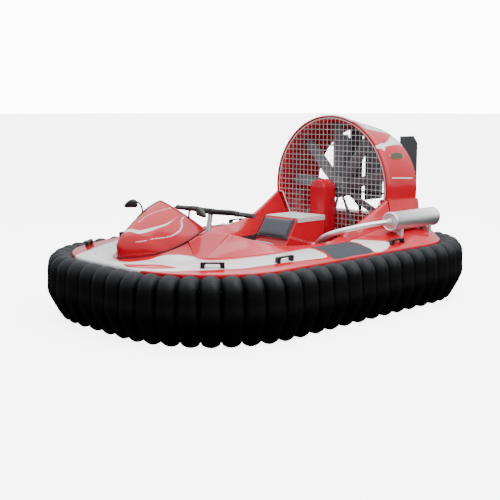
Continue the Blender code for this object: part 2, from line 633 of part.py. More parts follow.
def make_steering():
    """Raked column, handlebar and grips. The bar turns about the column's axis."""
    down = Vector((math.sin(COLUMN_RAKE), 0.0, -math.cos(COLUMN_RAKE)))
    foot_z = HULL_FLOOR_Z + 0.02
    foot = COLUMN_TOP + down * ((COLUMN_TOP.z - foot_z) / math.cos(COLUMN_RAKE))
    post = tube("steering_column", [foot, COLUMN_TOP], 0.017, "alloy", 20)
    base = block("join_column_foot", (foot.x - 0.06, -0.05, HULL_FLOOR_Z + GAP), (foot.x + 0.06, 0.05, foot_z + 0.006),
                 "alloy")
    combine(post, base, "UNION")
    centre = COLUMN_TOP - down * 0.022
    knee = BAR_REACH - GRIP_LENGTH
    half = [Vector((0.0, 0.0, 0.0)), Vector((0.0, 0.07, 0.0)), Vector((-0.012, 0.19, 0.003)),
            Vector((-0.018, knee - 0.02, -0.001))]
    sweep = Vector((-0.04, 1.0, -0.01)).normalized()
    end = half[-1] + sweep * 0.02
    spine = smooth_path([p * Vector((1, -1, 1)) for p in reversed(half[1:])] + half, 3)
    spine = [centre + p for p in [end * Vector((1, -1, 1)), *spine, end]]
    bar = tube("handlebar", spine, 0.0135, "black", 12, origin=COLUMN_TOP)
    clamp = tube("join_clamp", [COLUMN_TOP - down * GAP, COLUMN_TOP - down * 0.040], 0.021, "black", 16)
    combine(bar, clamp, "UNION")
    for side, name in ((1, "grip_port"), (-1, "grip_starboard")):
        flip = Vector((1, side, 1))
        ends = [centre + (end + sweep * reach) * flip for reach in (GAP, GRIP_LENGTH)]
        tube(name, ends, GRIP_RADIUS, "grip", 14, origin=COLUMN_TOP)


def cover_front(z):
    """Place of the engine cover's sloping front at a height."""
    return COVER_FRONT_X + (COVER_TOP_Z - z) * COVER_SLOPE


def make_seat():
    """Seat base moulding, cushion and backrest pad."""
    base_z, cushion_z = 0.345, 0.430
    low_rear, high_rear = cover_front(HULL_FLOOR_Z) + 2 * GAP, cover_front(base_z) + 2 * GAP
    outline = ((low_rear, HULL_FLOOR_Z + GAP), (SEAT_FRONT_X, HULL_FLOOR_Z + GAP),
               (SEAT_FRONT_X - 0.02, base_z), (high_rear, base_z))
    rings = [[(x, y, z) for x, z in outline] for y in (-SEAT_HALF, SEAT_HALF)]
    lofted("seat_base", rings, "red")
    rear = cover_front(base_z) + 0.012
    low = base_z + GAP
    outline = ((rear, low), (SEAT_FRONT_X - 0.01, low), (SEAT_FRONT_X, cushion_z - 0.02),
               (SEAT_FRONT_X - 0.03, cushion_z), (cover_front(cushion_z) + 0.012, cushion_z))
    rings = [[(x, y, z) for x, z in outline] for y in (-SEAT_HALF + 0.005, SEAT_HALF - 0.005)]
    lofted("seat_cushion", rings, "cushion")
    thick = 0.034
    low, high = cushion_z + 0.006, COVER_TOP_Z - 0.014
    outline = [(cover_front(low) + GAP, low), (cover_front(low) + thick, low), (cover_front(high) + thick, high),
               (cover_front(high) + GAP, high)]
    rings = [[(x, y, z) for x, z in outline] for y in (-0.142, 0.142)]
    lofted("seat_backrest", rings, "pad")


def make_engine_bay():
    """Engine cover, its top plate, the engine block and the belt guard."""
    floor = HULL_FLOOR_Z + GAP

    def shell(shrink, low, high):
        half, rear = COVER_HALF - shrink, COVER_REAR_X + shrink
        return [[(rear, -half, z), (rear, half, z), (cover_front(z) - shrink, half, z),
                 (cover_front(z) - shrink, -half, z)] for z in (low, high)]
    cover = lofted("engine_cover", shell(0.0, floor, COVER_TOP_Z), "red")
    combine(cover, lofted("cut_cover", shell(COVER_WALL, floor - 0.05, COVER_TOP_Z - COVER_WALL), "red"), "DIFFERENCE")
    out, drop, sheet = COVER_HALF + GAP, 0.030, 0.004
    section = ((-out - sheet, -drop), (-out, -drop), (-out, GAP), (out, GAP), (out, -drop), (out + sheet, -drop),
               (out + sheet, GAP + sheet), (-out - sheet, GAP + sheet))
    rings = [[(x, y, COVER_TOP_Z + z) for y, z in section] for x in (COVER_REAR_X - 0.004, COVER_FRONT_X)]
    lofted("engine_cover_plate", rings, "alloy")
    block("engine_block", (-0.455, -0.125, floor), (-0.165, 0.125, 0.485), "iron")
    rings = []
    profile = [(-TOWER_HALF, floor)] + [(-TOWER_HALF * math.cos(a), FAN_Z + TOWER_HALF * math.sin(a))
                                        for a in np.linspace(0.0, math.pi, 21)] + [(TOWER_HALF, floor)]
    tower = lofted("belt_guard", [[(x, y, z) for y, z in profile] for x in (TOWER_REAR_X, TOWER_FRONT_X)], "red")
    bevel(tower, 0.006)
    step = block("join_guard_foot", (TOWER_FRONT_X - 0.03, -TOWER_HALF + 0.008, floor + 0.001),
                 (COVER_REAR_X - 0.0048, TOWER_HALF - 0.008, COVER_TOP_Z - 0.004), "red")
    combine(tower, step, "UNION")


def make_exhaust(deck):
    """Muffler on the port quarter, its two cradles on the deck and the pipe from the engine bay."""
    end = 0.012
    profile = ((MUFFLER_FRONT_X, MUFFLER_RADIUS - end), (MUFFLER_FRONT_X - end, MUFFLER_RADIUS),
               (MUFFLER_REAR_X + end, MUFFLER_RADIUS), (MUFFLER_REAR_X, MUFFLER_RADIUS - end))
    rings = [circle((x, MUFFLER_Y, MUFFLER_Z), (1, 0, 0), radius, 32) for x, radius in profile]
    lofted("muffler", rings, "alloy")
    for place, x in (("front", MUFFLER_FRONT_X - 0.09), ("rear", MUFFLER_REAR_X + 0.09)):
        cradle = block(f"muffler_cradle_{place}", (x - 0.012, MUFFLER_Y - 0.045, DECK_BASE_Z + 0.02),
                       (x + 0.012, MUFFLER_Y + 0.045, MUFFLER_Z - 0.045), "alloy")
        bore = [circle((x + d, MUFFLER_Y, MUFFLER_Z), (1, 0, 0), MUFFLER_RADIUS + GAP, 32) for d in (-0.03, 0.03)]
        combine(cradle, lofted(f"cut_cradle_{place}", bore, "alloy"), "DIFFERENCE")
        seat_on(cradle, deck)
    inlet = Vector((MUFFLER_FRONT_X + GAP, MUFFLER_Y, MUFFLER_Z))
    outlet = Vector((-0.370, COVER_HALF + GAP, 0.370))
    route = (inlet + Vector((0.02, 0.0, 0.0)), (-0.470, 0.690, 0.571), (-0.390, 0.640, 0.560), (-0.300, 0.580, 0.540),
             (-0.215, 0.510, 0.514), (-0.190, 0.430, 0.480), (-0.235, 0.330, 0.430), (-0.330, 0.230, 0.385),
             outlet + Vector((0.0, 0.03, 0.0)))
    path = [inlet, *smooth_path(route, 3), outlet]
    tube("exhaust_pipe", path, [float(r) for r in np.linspace(0.0195, 0.026, len(path))], "alloy", 12)


def make_handles(deck):
    """Six grab handles along the deck edge, each a flat bar on two feet that stand on the deck."""
    places = ((1.032, 0.625, "bow"), (0.593, 0.782, "mid"), (-0.500, 0.800, "stern"))
    bridge = ((0.071, -0.015), (0.071, 0.018), (0.058, 0.034), (-0.058, 0.034), (-0.071, 0.018),
                    (-0.071, -0.015), (-0.040, -0.015), (-0.037, 0.020), (-0.030, 0.026), (0.030, 0.026),
                    (0.037, 0.020), (0.040, -0.015))
    for x, y, where in places:
        bearing = math.atan2(y, x)
        foot = ray_meets(inner_outline(), bearing)
        edge = OUTLINE.bearing(bearing, DECK_INSET + 0.006, DECK_EDGE_Z)
        share = (math.hypot(edge[0], edge[1]) - math.hypot(x, y)) / math.dist(edge[:2], foot[:2])
        rise = float(np.interp(share, (0.0, CROWN_SHARE, 1.0), (0.0, CROWN_RISE, 1.0)))
        z = edge[2] + rise * (foot[2] - edge[2])
        length = float(np.interp(bearing, *bearing_table()))
        along = OUTLINE.at(length + 0.002, 0.2, 0.0), OUTLINE.at(length - 0.002, 0.2, 0.0)
        direction = (Vector(along[0]) - Vector(along[1])).normalized()
        across = Vector((-direction.y, direction.x, 0.0))
        for side, suffix in ((1, "port"), (-1, "starboard")):
            flip = Vector((1, side, 1))
            rings = [[(Vector((x, y, z + height)) + direction * reach + across * width) * flip
                      for reach, height in bridge] for width in (-0.0125, 0.0125)]
            bar = lofted(f"handle_{where}_{suffix}", rings, "black")
            seat_on(bar, deck)


def bearing_table():
    """Bearings round the outline and the share of its length at each."""
    angles = np.unwrap(np.arctan2(OUTLINE.points[:, 1], OUTLINE.points[:, 0]))
    return angles, OUTLINE.length / OUTLINE.length[-1]


clear_scene()
make_skirt()
deck_panel = make_deck()
make_hull()
make_body()
make_duct()
make_guard()
make_fan()
make_rudders()
cowl_panel = make_cowl()
make_mirrors(cowl_panel)
make_steering()
make_seat()
make_engine_bay()
make_exhaust(deck_panel)
make_handles(deck_panel)
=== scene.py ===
"""Dresses the packed hovercraft: fine surfaces, paint, rubber, metal, guard mesh, padding and the stage.

Metres, +X to the bow, +Y to port, +Z up. A mesh is a function of two parameters on a grid, or a
profile carried along a path, computed as whole arrays.
"""

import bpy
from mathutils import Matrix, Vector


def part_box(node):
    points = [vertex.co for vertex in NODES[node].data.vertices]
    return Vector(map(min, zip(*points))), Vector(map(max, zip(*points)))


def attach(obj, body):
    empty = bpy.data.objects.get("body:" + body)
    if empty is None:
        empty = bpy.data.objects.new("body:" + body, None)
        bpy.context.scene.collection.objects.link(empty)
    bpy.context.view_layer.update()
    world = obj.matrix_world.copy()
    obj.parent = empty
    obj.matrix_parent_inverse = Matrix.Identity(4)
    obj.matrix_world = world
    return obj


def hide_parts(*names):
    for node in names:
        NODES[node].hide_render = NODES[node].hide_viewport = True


bl_info = {
    "name": "Hovercraft dressing",
    "version": (1, 0, 0),
    "blender": (4, 5, 0),
    "location": "View3D > Sidebar > Hovercraft",
    "description": "Builds the fine surfaces, finishes and stage of a small hovercraft",
    "category": "Object",
}

import math

import bmesh
import bpy
import numpy as np
from mathutils import Matrix, Vector

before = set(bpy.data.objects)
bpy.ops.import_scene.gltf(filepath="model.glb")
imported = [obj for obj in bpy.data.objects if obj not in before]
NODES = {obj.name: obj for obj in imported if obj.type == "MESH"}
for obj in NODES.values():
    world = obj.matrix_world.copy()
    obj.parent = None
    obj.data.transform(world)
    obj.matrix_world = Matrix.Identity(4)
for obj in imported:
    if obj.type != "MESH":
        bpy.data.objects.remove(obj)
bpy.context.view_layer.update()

# Skirt outline: a rectangle with round corners
BOW_X, STERN_X, HALF_BEAM = 1.476, -1.476, 1.029
BOW_RADIUS, STERN_RADIUS = 0.815, 0.722
DECK_INSET, DECK_BASE_Z, DECK_EDGE_Z = 0.165, 0.390, 0.414

# Fan's axis, duct and guard
FAN_Z, FAN_X, FAN_RADIUS = 0.755, -0.845, 0.472
DUCT_REAR_X, GUARD_X, GUARD_SEAT_X = -1.106, -0.716, -0.7213
SEAM_FRONT_Z, SEAM_REAR_Z = 0.700, 0.6895

# Steering column's top and rake
COLUMN_TOP = np.array((0.488, 0.0, 0.650))
COLUMN_RAKE = math.radians(11.5)

# Body line: x, foot (x, y, z), top edge (y, z), inner wall at the deck (y)
BODY_LINE = np.array((
    (1.268, 1.268, 0.150, 0.430, 0.020, 0.434, 0.00),
    (1.239, 1.239, 0.262, 0.436, 0.020, 0.442, 0.00),
    (1.200, 1.200, 0.300, 0.441, 0.064, 0.444, 0.00),
    (1.139, 1.139, 0.330, 0.445, 0.130, 0.452, 0.00),
    (1.091, 1.091, 0.350, 0.448, 0.192, 0.474, 0.00),
    (1.035, 1.035, 0.372, 0.450, 0.247, 0.498, 0.00),
    (0.960, 0.960, 0.405, 0.452, 0.312, 0.548, 0.27),
    (0.840, 0.938, 0.415, 0.453, 0.349, 0.616, 0.29),
    (0.700, 0.914, 0.427, 0.453, 0.412, 0.580, 0.34),
    (0.588, 0.720, 0.538, 0.456, 0.450, 0.545, 0.38),
    (0.411, 0.470, 0.610, 0.460, 0.500, 0.492, 0.42),
    (0.250, 0.250, 0.612, 0.460, 0.545, 0.470, 0.44),
    (0.000, 0.000, 0.605, 0.460, 0.556, 0.464, 0.44),
    (-0.150, -0.150, 0.585, 0.461, 0.532, 0.466, 0.44),
    (-0.300, -0.300, 0.565, 0.466, 0.507, 0.508, 0.43),
    (-0.420, -0.420, 0.562, 0.480, 0.505, 0.546, 0.41),
    (-0.560, -0.560, 0.575, 0.512, 0.523, 0.617, 0.38),
    (-0.7105, -0.7105, 0.600, 0.520, 0.538, 0.6995, 0.344),
))
SIDE_START, CREASE = 6, 8

# Tail block: x, foot (y, z), top (y)
TAIL_LINE = np.array((
    (GUARD_SEAT_X, 0.599, 0.520, 0.555),
    (-0.900, 0.595, 0.515, 0.548),
    (DUCT_REAR_X, 0.575, 0.490, 0.536),
))

# Nose cowl: base x, half width, base z, crown x, crown z, squareness
COWL_LINE = np.array((
    (0.840, 0.345, 0.617, 0.905, 0.775, 1.15),
    (0.960, 0.308, 0.549, 1.030, 0.706, 1.15),
    (1.035, 0.243, 0.499, 1.110, 0.656, 1.20),
    (1.091, 0.188, 0.475, 1.165, 0.620, 1.30),
    (1.139, 0.126, 0.453, 1.213, 0.580, 1.40),
    (1.200, 0.060, 0.445, 1.245, 0.532, 1.50),
    (1.239, 0.016, 0.443, 1.250, 0.490, 1.60),
))

# Duct's outer skin: x, half width, height, squareness
DUCT_SKIN = np.array((
    (-0.7125, 0.5420, 0.5420, 2.00),
    (-0.7145, 0.5470, 0.5470, 2.00),
    (-0.7250, 0.5486, 0.5486, 2.00),
    (-0.7800, 0.5360, 0.5360, 2.00),
    (-0.8600, 0.5320, 0.5170, 2.04),
    (-0.9600, 0.5300, 0.4950, 2.08),
    (-1.0500, 0.5260, 0.4770, 2.05),
    (-1.1060, 0.5220, 0.4650, 2.02),
))
# Duct's bore: x, radius, from the outlet forward to the lip
DUCT_BORE = np.array((
    (-1.1060, 0.446), (-0.960, 0.474), (-0.860, 0.487), (-0.780, 0.489), (-0.735, 0.500),
    (-0.7215, 0.512), (-0.7213, 0.5315), (-0.7140, 0.5335), (-0.7115, 0.5370),
))

# Painted outlines in plan on the port side: x, y
WHITE_SWEEP = (
    (1.360, -0.020), (1.350, 0.160), (1.326, 0.260), (1.303, 0.302), (1.268, 0.405), (1.204, 0.503), (1.143, 0.565),
    (1.070, 0.635), (0.913, 0.735), (0.777, 0.773), (0.662, 0.792), (0.452, 0.806), (0.362, 0.812), (0.238, 0.811),
    (0.211, 0.721), (0.209, 0.629), (0.385, 0.631), (0.548, 0.630), (0.694, 0.606), (0.848, 0.560), (0.930, 0.500),
    (0.950, 0.440), (0.963, 0.396), (1.006, 0.346), (1.066, 0.266), (1.109, 0.214), (1.177, 0.190), (1.240, 0.145),
    (1.268, 0.070), (1.272, -0.020),
)
RED_LEAF = ((1.292, 0.110), (1.278, 0.175), (1.254, 0.245), (1.232, 0.292), (1.196, 0.365), (1.168, 0.470),
            (1.212, 0.436), (1.250, 0.388), (1.279, 0.330), (1.296, 0.240), (1.303, 0.160))
WHITE_BOW = (
    (1.360, 0.020), (1.360, -0.150), (1.345, -0.320), (1.290, -0.425), (1.175, -0.412), (0.995, -0.496),
    (0.861, -0.555), (0.700, -0.600), (0.720, -0.560), (0.860, -0.470), (0.963, -0.396), (1.006, -0.346),
    (1.066, -0.266), (1.100, -0.200), (1.165, -0.145), (1.222, -0.090), (1.258, -0.040), (1.272, 0.020),
)
WHITE_AFT = ((-0.216, 0.627), (-0.284, 0.600), (-0.345, 0.664), (-0.440, 0.754), (-0.449, 0.780), (-0.364, 0.828),
             (-0.258, 0.853), (-0.197, 0.845), (-0.192, 0.786), (-0.227, 0.692))
GRIP_PANEL = ((0.181, 0.613), (-0.003, 0.612), (-0.193, 0.626), (-0.203, 0.734), (-0.186, 0.843), (0.015, 0.849),
              (0.207, 0.851), (0.200, 0.791), (0.172, 0.686))
# Painted outlines on the duct's side: x, z
DUCT_SWEEP = ((-0.705, 1.082), (-0.769, 1.093), (-0.820, 1.100), (-0.862, 1.099), (-0.934, 1.118), (-1.040, 1.142),
              (-1.120, 1.152), (-1.120, 1.070), (-1.063, 1.083), (-0.931, 1.082), (-0.847, 1.074), (-0.801, 1.045),
              (-0.779, 1.063), (-0.728, 1.065), (-0.705, 1.065))
# Lines painted on the cowl: x, y, z, half width
THINNEST = 0.0028  # half width below which a painted line would break up on the cowl's grid
COWL_LINES = (
    ((1.100, 0.010, 0.655, 0.0008), (1.093, 0.022, 0.657, 0.0018), (1.048, 0.025, 0.684, 0.0026),
     (0.989, 0.047, 0.709, 0.0027), (0.918, 0.089, 0.731, 0.0028), (0.880, 0.117, 0.737, 0.0028)),
    ((1.190, 0.000, 0.600, 0.006), (1.163, 0.023, 0.607, 0.011), (1.131, 0.070, 0.600, 0.013),
     (1.081, 0.103, 0.612, 0.011), (1.029, 0.140, 0.632, 0.0075), (0.980, 0.165, 0.648, 0.006),
     (0.907, 0.178, 0.689, 0.0045), (0.880, 0.186, 0.704, 0.004)),
    ((1.185, 0.060, 0.540, 0.0006), (1.170, 0.082, 0.543, 0.0010), (1.132, 0.119, 0.550, 0.0016),
     (1.089, 0.149, 0.562, 0.0022), (1.040, 0.193, 0.569, 0.0032), (1.001, 0.229, 0.581, 0.005),
     (0.962, 0.245, 0.606, 0.0058), (0.931, 0.234, 0.636, 0.006), (0.914, 0.209, 0.665, 0.0055),
     (0.883, 0.203, 0.690, 0.005)),
)


# Surfaces

def through(rows, count):
    """Smooth curve through table rows: on each span the cubic whose slopes are half the chord of its neighbours."""
    rows = np.asarray(rows, float)
    ends = np.vstack([2 * rows[0] - rows[1], rows, 2 * rows[-1] - rows[-2]])
    t = np.linspace(0.0, len(rows) - 1.0, count)
    i = np.minimum(t.astype(int), len(rows) - 2)
    f = (t - i)[:, None]
    a, b, c, d = ends[i], ends[i + 1], ends[i + 2], ends[i + 3]
    return 0.5 * (2 * b + (c - a) * f + (2 * a - 5 * b + 4 * c - d) * f ** 2 + (3 * b - a - 3 * c + d) * f ** 3)


def fillet(rings, radius, steps=4):
    """Closed rings with each corner turned into a parabola that leaves its two edges a radius away."""
    def reach(edge):
        length = np.maximum(np.linalg.norm(edge, axis=2, keepdims=True), 1e-9)
        return rings + edge * np.minimum(np.asarray(radius) / length, 0.48)
    start, end = reach(np.roll(rings, 1, 1) - rings), reach(np.roll(rings, -1, 1) - rings)
    t = np.linspace(0.0, 1.0, steps + 1)[None, None, :, None]
    arc = (1 - t) ** 2 * start[:, :, None] + 2 * t * (1 - t) * rings[:, :, None] + t ** 2 * end[:, :, None]
    return arc.reshape(len(rings), -1, 3)


def superellipse(angle, half, height, power):
    """Across and up of the curve |y/half|^power + |z/height|^power = 1 at an angle."""
    c, s = np.cos(angle), np.sin(angle)
    return half * np.sign(c) * np.abs(c) ** (2 / power), height * np.sign(s) * np.abs(s) ** (2 / power)


def carried(path, profile, scale=None, up=(0.0, 0.0, 1.0)):
    """Rings of a flat profile (across, up) carried along a path, square to it, with a scale at each point."""
    path, profile = np.asarray(path, float), np.asarray(profile, float)
    ahead = np.gradient(path, axis=0)
    ahead /= np.linalg.norm(ahead, axis=1, keepdims=True)
    side = np.cross(np.asarray(up, float), ahead)
    side /= np.linalg.norm(side, axis=1, keepdims=True)
    rise = np.cross(ahead, side)
    size = np.ones(len(path)) if scale is None else np.asarray(scale, float)
    return (path[:, None] + size[:, None, None] * (profile[None, :, :1] * side[:, None]
                                                   + profile[None, :, 1:] * rise[:, None]))


def disc(sides, radius=1.0, high=None):
    """Circle, or an ellipse where a height is given."""
    a = np.linspace(0.0, 2 * math.pi, sides, endpoint=False)
    return np.stack([radius * np.cos(a), (radius if high is None else high) * np.sin(a)], 1)


def turned(profile, centre, axis, sides=48):
    """Rings of a profile (along, radius) turned about an axis through a centre."""
    axis = Vector(axis).normalized()
    side = axis.orthogonal().normalized()
    across, up = np.array(side), np.array(axis.cross(side))
    a = np.linspace(0.0, 2 * math.pi, sides, endpoint=False)
    wheel = np.cos(a)[:, None] * across + np.sin(a)[:, None] * up
    profile = np.asarray(profile, float)
    return (np.asarray(centre, float) + profile[:, None, :1] * np.array(axis)
            + profile[:, None, 1:] * wheel[None])


def placed(rings, **attributes):
    return [rings, attributes]


def piece(name, parts, material, body="root", replaces=(), sharp=35.0, closed=False):
    """One object from closed rings: a quad between neighbours on the grid, and flat caps at the ends."""
    points, quads, caps, values = [], [], [], {}
    start = 0
    for part in parts:
        rings, attributes = part if isinstance(part, list) else (part, {})
        n, k = rings.shape[:2]
        i, j = np.meshgrid(np.arange(n if closed else n - 1), np.arange(k), indexing="ij")
        here, there, nxt = i * k, (i + 1) % n * k, (j + 1) % k
        quads.append(start + np.stack([here + j, here + nxt, there + nxt, there + j], -1).reshape(-1, 4))
        if not closed:
            caps += [(start + np.arange(k))[::-1].tolist(), (start + (n - 1) * k + np.arange(k)).tolist()]
        points.append(rings.reshape(-1, 3))
        for key, value in attributes.items():
            values.setdefault(key, []).append(np.broadcast_to(value, (n, k)).ravel())
        start += n * k
    mesh = bpy.data.meshes.new(name)
    mesh.from_pydata(np.concatenate(points), [], np.concatenate(quads).tolist() + caps)
    for key, value in values.items():
        mesh.attributes.new(key, "FLOAT", "POINT").data.foreach_set("value", np.concatenate(value).astype(np.float32))
    work = bmesh.new()
    work.from_mesh(mesh)
    bmesh.ops.remove_doubles(work, verts=work.verts, dist=1e-6)
    bmesh.ops.dissolve_degenerate(work, edges=work.edges, dist=1e-7)
    bmesh.ops.recalc_face_normals(work, faces=work.faces)
    work.to_mesh(mesh)
    work.free()
    return settle(name, mesh, material, body, replaces, sharp)


def settle(name, mesh, material, body="root", replaces=(), sharp=35.0):
    """Object for a mesh that is already in place: shaded, painted, and riding on its body."""
    mesh.shade_smooth()
    mesh.set_sharp_from_angle(angle=math.radians(sharp))
    mesh.materials.clear()
    mesh.materials.append(material)
    item = bpy.data.objects.new(name, mesh)
    bpy.context.collection.objects.link(item)
    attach(item, body)
    if replaces:
        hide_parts(*replaces)
    return item


def softened(node, material, width, body="root", segments=3, sharp=40.0):
    """Copy of a CAD node, merged and with its flat faces whole, whose edges are rounded."""
    mesh = NODES[node].data.copy()
    work = bmesh.new()
    work.from_mesh(mesh)
    bmesh.ops.remove_doubles(work, verts=work.verts, dist=1e-5)
    bmesh.ops.dissolve_limit(work, angle_limit=math.radians(1.5), verts=work.verts, edges=work.edges)
    work.to_mesh(mesh)
    work.free()
    item = settle(node + "_fine", mesh, material, body, (node,), sharp)
    mod = item.modifiers.new("edge", "BEVEL")
    mod.width = width
    mod.segments = segments
    mod.limit_method = "ANGLE"
    mod.angle_limit = math.radians(28)
    mod.harden_normals = True
    return item


def inside_distance(points, outline):
    """Distance of plan points from an outline, positive within it: nearest edge, signed by ray crossings."""
    p, a = np.asarray(points, float).reshape(-1, 2), np.asarray(outline, float)
    b = np.roll(a, -1, 0)
    edge = b - a
    rel = p[:, None] - a
    along = np.clip((rel * edge).sum(2) / (edge ** 2).sum(1), 0.0, 1.0)
    near = np.linalg.norm(rel - along[..., None] * edge, axis=2).min(1)
    crosses = (a[:, 1] > p[:, 1:]) != (b[:, 1] > p[:, 1:])
    with np.errstate(divide="ignore", invalid="ignore"):
        where = a[:, 0] + (p[:, 1:] - a[:, 1]) / (b[:, 1] - a[:, 1]) * (b[:, 0] - a[:, 0])
    inside = (crosses & (p[:, :1] < where)).sum(1) % 2 == 1
    return np.where(inside, near, -near).reshape(np.asarray(points).shape[:-1])


def rounded(outline, count=6):
    """Closed outline made smooth: the cubic through its corners, wrapped round."""
    rows = np.asarray(outline, float)
    wrapped = np.vstack([rows[-2:], rows, rows[:3]])
    fine = through(wrapped, (len(wrapped) - 1) * count + 1)
    return fine[2 * count:-3 * count]


def line_distance(points, line):
    """Distance of points from a line with a half width at each corner, positive on the line."""
    fine = through(line, 8 * len(line))
    shape = points.shape[:-1]
    p, a, b = points.reshape(-1, 3), fine[:-1], fine[1:]
    edge = b[:, :3] - a[:, :3]
    rel = p[:, None] - a[:, :3]
    along = np.clip((rel * edge).sum(2) / (edge ** 2).sum(1), 0.0, 1.0)
    away = np.linalg.norm(rel - along[..., None] * edge, axis=2)
    width = a[:, 3] + along * (b[:, 3] - a[:, 3])
    return (width - away).max(1).reshape(shape)


def skirt_outline(count=1440):
    """Outline points, outward normals and lengths round the rounded rectangle, from the bow to port."""
    corners = ((BOW_X - BOW_RADIUS, HALF_BEAM - BOW_RADIUS, BOW_RADIUS, 0.0),
               (STERN_X + STERN_RADIUS, HALF_BEAM - STERN_RADIUS, STERN_RADIUS, 90.0),
               (STERN_X + STERN_RADIUS, STERN_RADIUS - HALF_BEAM, STERN_RADIUS, 180.0),
               (BOW_X - BOW_RADIUS, BOW_RADIUS - HALF_BEAM, BOW_RADIUS, 270.0))
    points, normals = [np.array([(BOW_X, 0.0)])], [np.array([(1.0, 0.0)])]
    for x, y, radius, start in corners:
        a = np.radians(np.linspace(start, start + 90.0, 181))
        normal = np.stack([np.cos(a), np.sin(a)], 1)
        points.append(np.array((x, y)) + radius * normal)
        normals.append(normal)
    points.append(points[0])
    normals.append(normals[0])
    points, normals = np.vstack(points), np.vstack(normals)
    length = np.r_[0.0, np.cumsum(np.linalg.norm(np.diff(points, axis=0), axis=1))]
    share = np.linspace(0.0, length[-1], count * 4 + 1)
    dense = [np.stack([np.interp(share, length, q[:, i]) for i in (0, 1)], 1) for q in (points, normals)]
    return dense[0], dense[1], share / length[-1]


OUTLINE, OUTLINE_NORMAL, OUTLINE_SHARE = skirt_outline()


def along_outline(share, inset):
    """Plan points at shares of the way round, set in along the normal."""
    share = np.mod(share, 1.0)
    place = [np.interp(share, OUTLINE_SHARE, OUTLINE[:, i]) - inset * np.interp(share, OUTLINE_SHARE, OUTLINE_NORMAL[:, i])
             for i in (0, 1)]
    return np.stack(place, -1)


# Materials

class Value:
    """Output socket of a node; Python's operators on it add Math nodes."""

    def __init__(self, shade, socket):
        self.shade, self.socket = shade, socket

    def __add__(self, other):
        return self.shade.math("ADD", self, other)

    def __sub__(self, other):
        return self.shade.math("SUBTRACT", self, other)

    def __rsub__(self, other):
        return self.shade.math("SUBTRACT", other, self)

    def __mul__(self, other):
        return self.shade.math("MULTIPLY", self, other)

    def __truediv__(self, other):
        return self.shade.math("DIVIDE", self, other)

    def __rtruediv__(self, other):
        return self.shade.math("DIVIDE", other, self)

    def __pow__(self, other):
        return self.shade.math("POWER", self, other)

    __radd__, __rmul__ = __add__, __mul__

    def clamped(self):
        return self.shade.math("ADD", self, 0.0, use_clamp=True)


class Shade:
    """A node material around one Principled shader."""

    def __init__(self, name, **constants):
        self.material = bpy.data.materials.new(name)
        self.material.use_nodes = True
        self.tree = self.material.node_tree
        self.shader = self.tree.nodes["Principled BSDF"]
        self.set(self.shader, constants)

    def set(self, node, values):
        for key, value in values.items():
            key = key.replace("_", " ") if isinstance(key, str) else key
            socket = node.inputs[key]
            if isinstance(value, Value):
                self.tree.links.new(value.socket, socket)
            elif isinstance(value, (tuple, list)) and len(value) == 3 and socket.type == "RGBA":
                socket.default_value = (*value, 1.0)
            else:
                socket.default_value = value

    def add(self, kind, output, settings=None, values=None):
        """Node of a type with its settings, then its input values or links; returns one output."""
        node = self.tree.nodes.new("ShaderNode" + kind)
        for key, value in (settings or {}).items():
            if key == "stops":
                ramp = node.color_ramp
                while len(ramp.elements) < len(value):
                    ramp.elements.new(0.5)
                for element, (place, level) in zip(ramp.elements, value):
                    element.position = place
                    element.color = (level, level, level, 1.0) if isinstance(level, float) else (*level, 1.0)
            else:
                setattr(node, key, value)
        self.set(node, values or {})
        return Value(self, node.outputs[output])

    def math(self, operation, a, b=0.0, **settings):
        return self.add("Math", 0, {"operation": operation, **settings}, {0: a, 1: b})

    def coords(self, scale=(1.0, 1.0, 1.0)):
        place = self.add("TexCoord", "Object")
        return self.add("Mapping", 0, {}, {"Vector": place, "Scale": scale})

    def noise(self, scale, detail=4.0, roughness=0.5, stretch=(1.0, 1.0, 1.0)):
        return self.add("TexNoise", "Fac", {}, {"Vector": self.coords(stretch), "Scale": scale, "Detail": detail,
                                                "Roughness": roughness})

    def cells(self, scale, output="Distance", stretch=(1.0, 1.0, 1.0), feature="F1"):
        return self.add("TexVoronoi", output, {"feature": feature}, {"Vector": self.coords(stretch), "Scale": scale})

    def attribute(self, name):
        return self.add("Attribute", "Fac", {"attribute_name": name})

    def ramp(self, value, *stops):
        return self.add("ValToRGB", 0, {"stops": stops}, {"Fac": value})

    def mix(self, factor, a, b):
        return self.add("Mix", 2, {"data_type": "RGBA"}, {0: factor, 6: a, 7: b})

    def edge(self, distance, blur=0.0012):
        """Mask that turns from 0 to 1 where a signed distance passes zero."""
        return (distance / blur + 0.5).clamped()

    def bump(self, height, strength, distance=0.001):
        return self.add("Bump", 0, {}, {"Height": height, "Strength": strength, "Distance": distance})

    def finish(self, **values):
        self.set(self.shader, values)
        return self.material


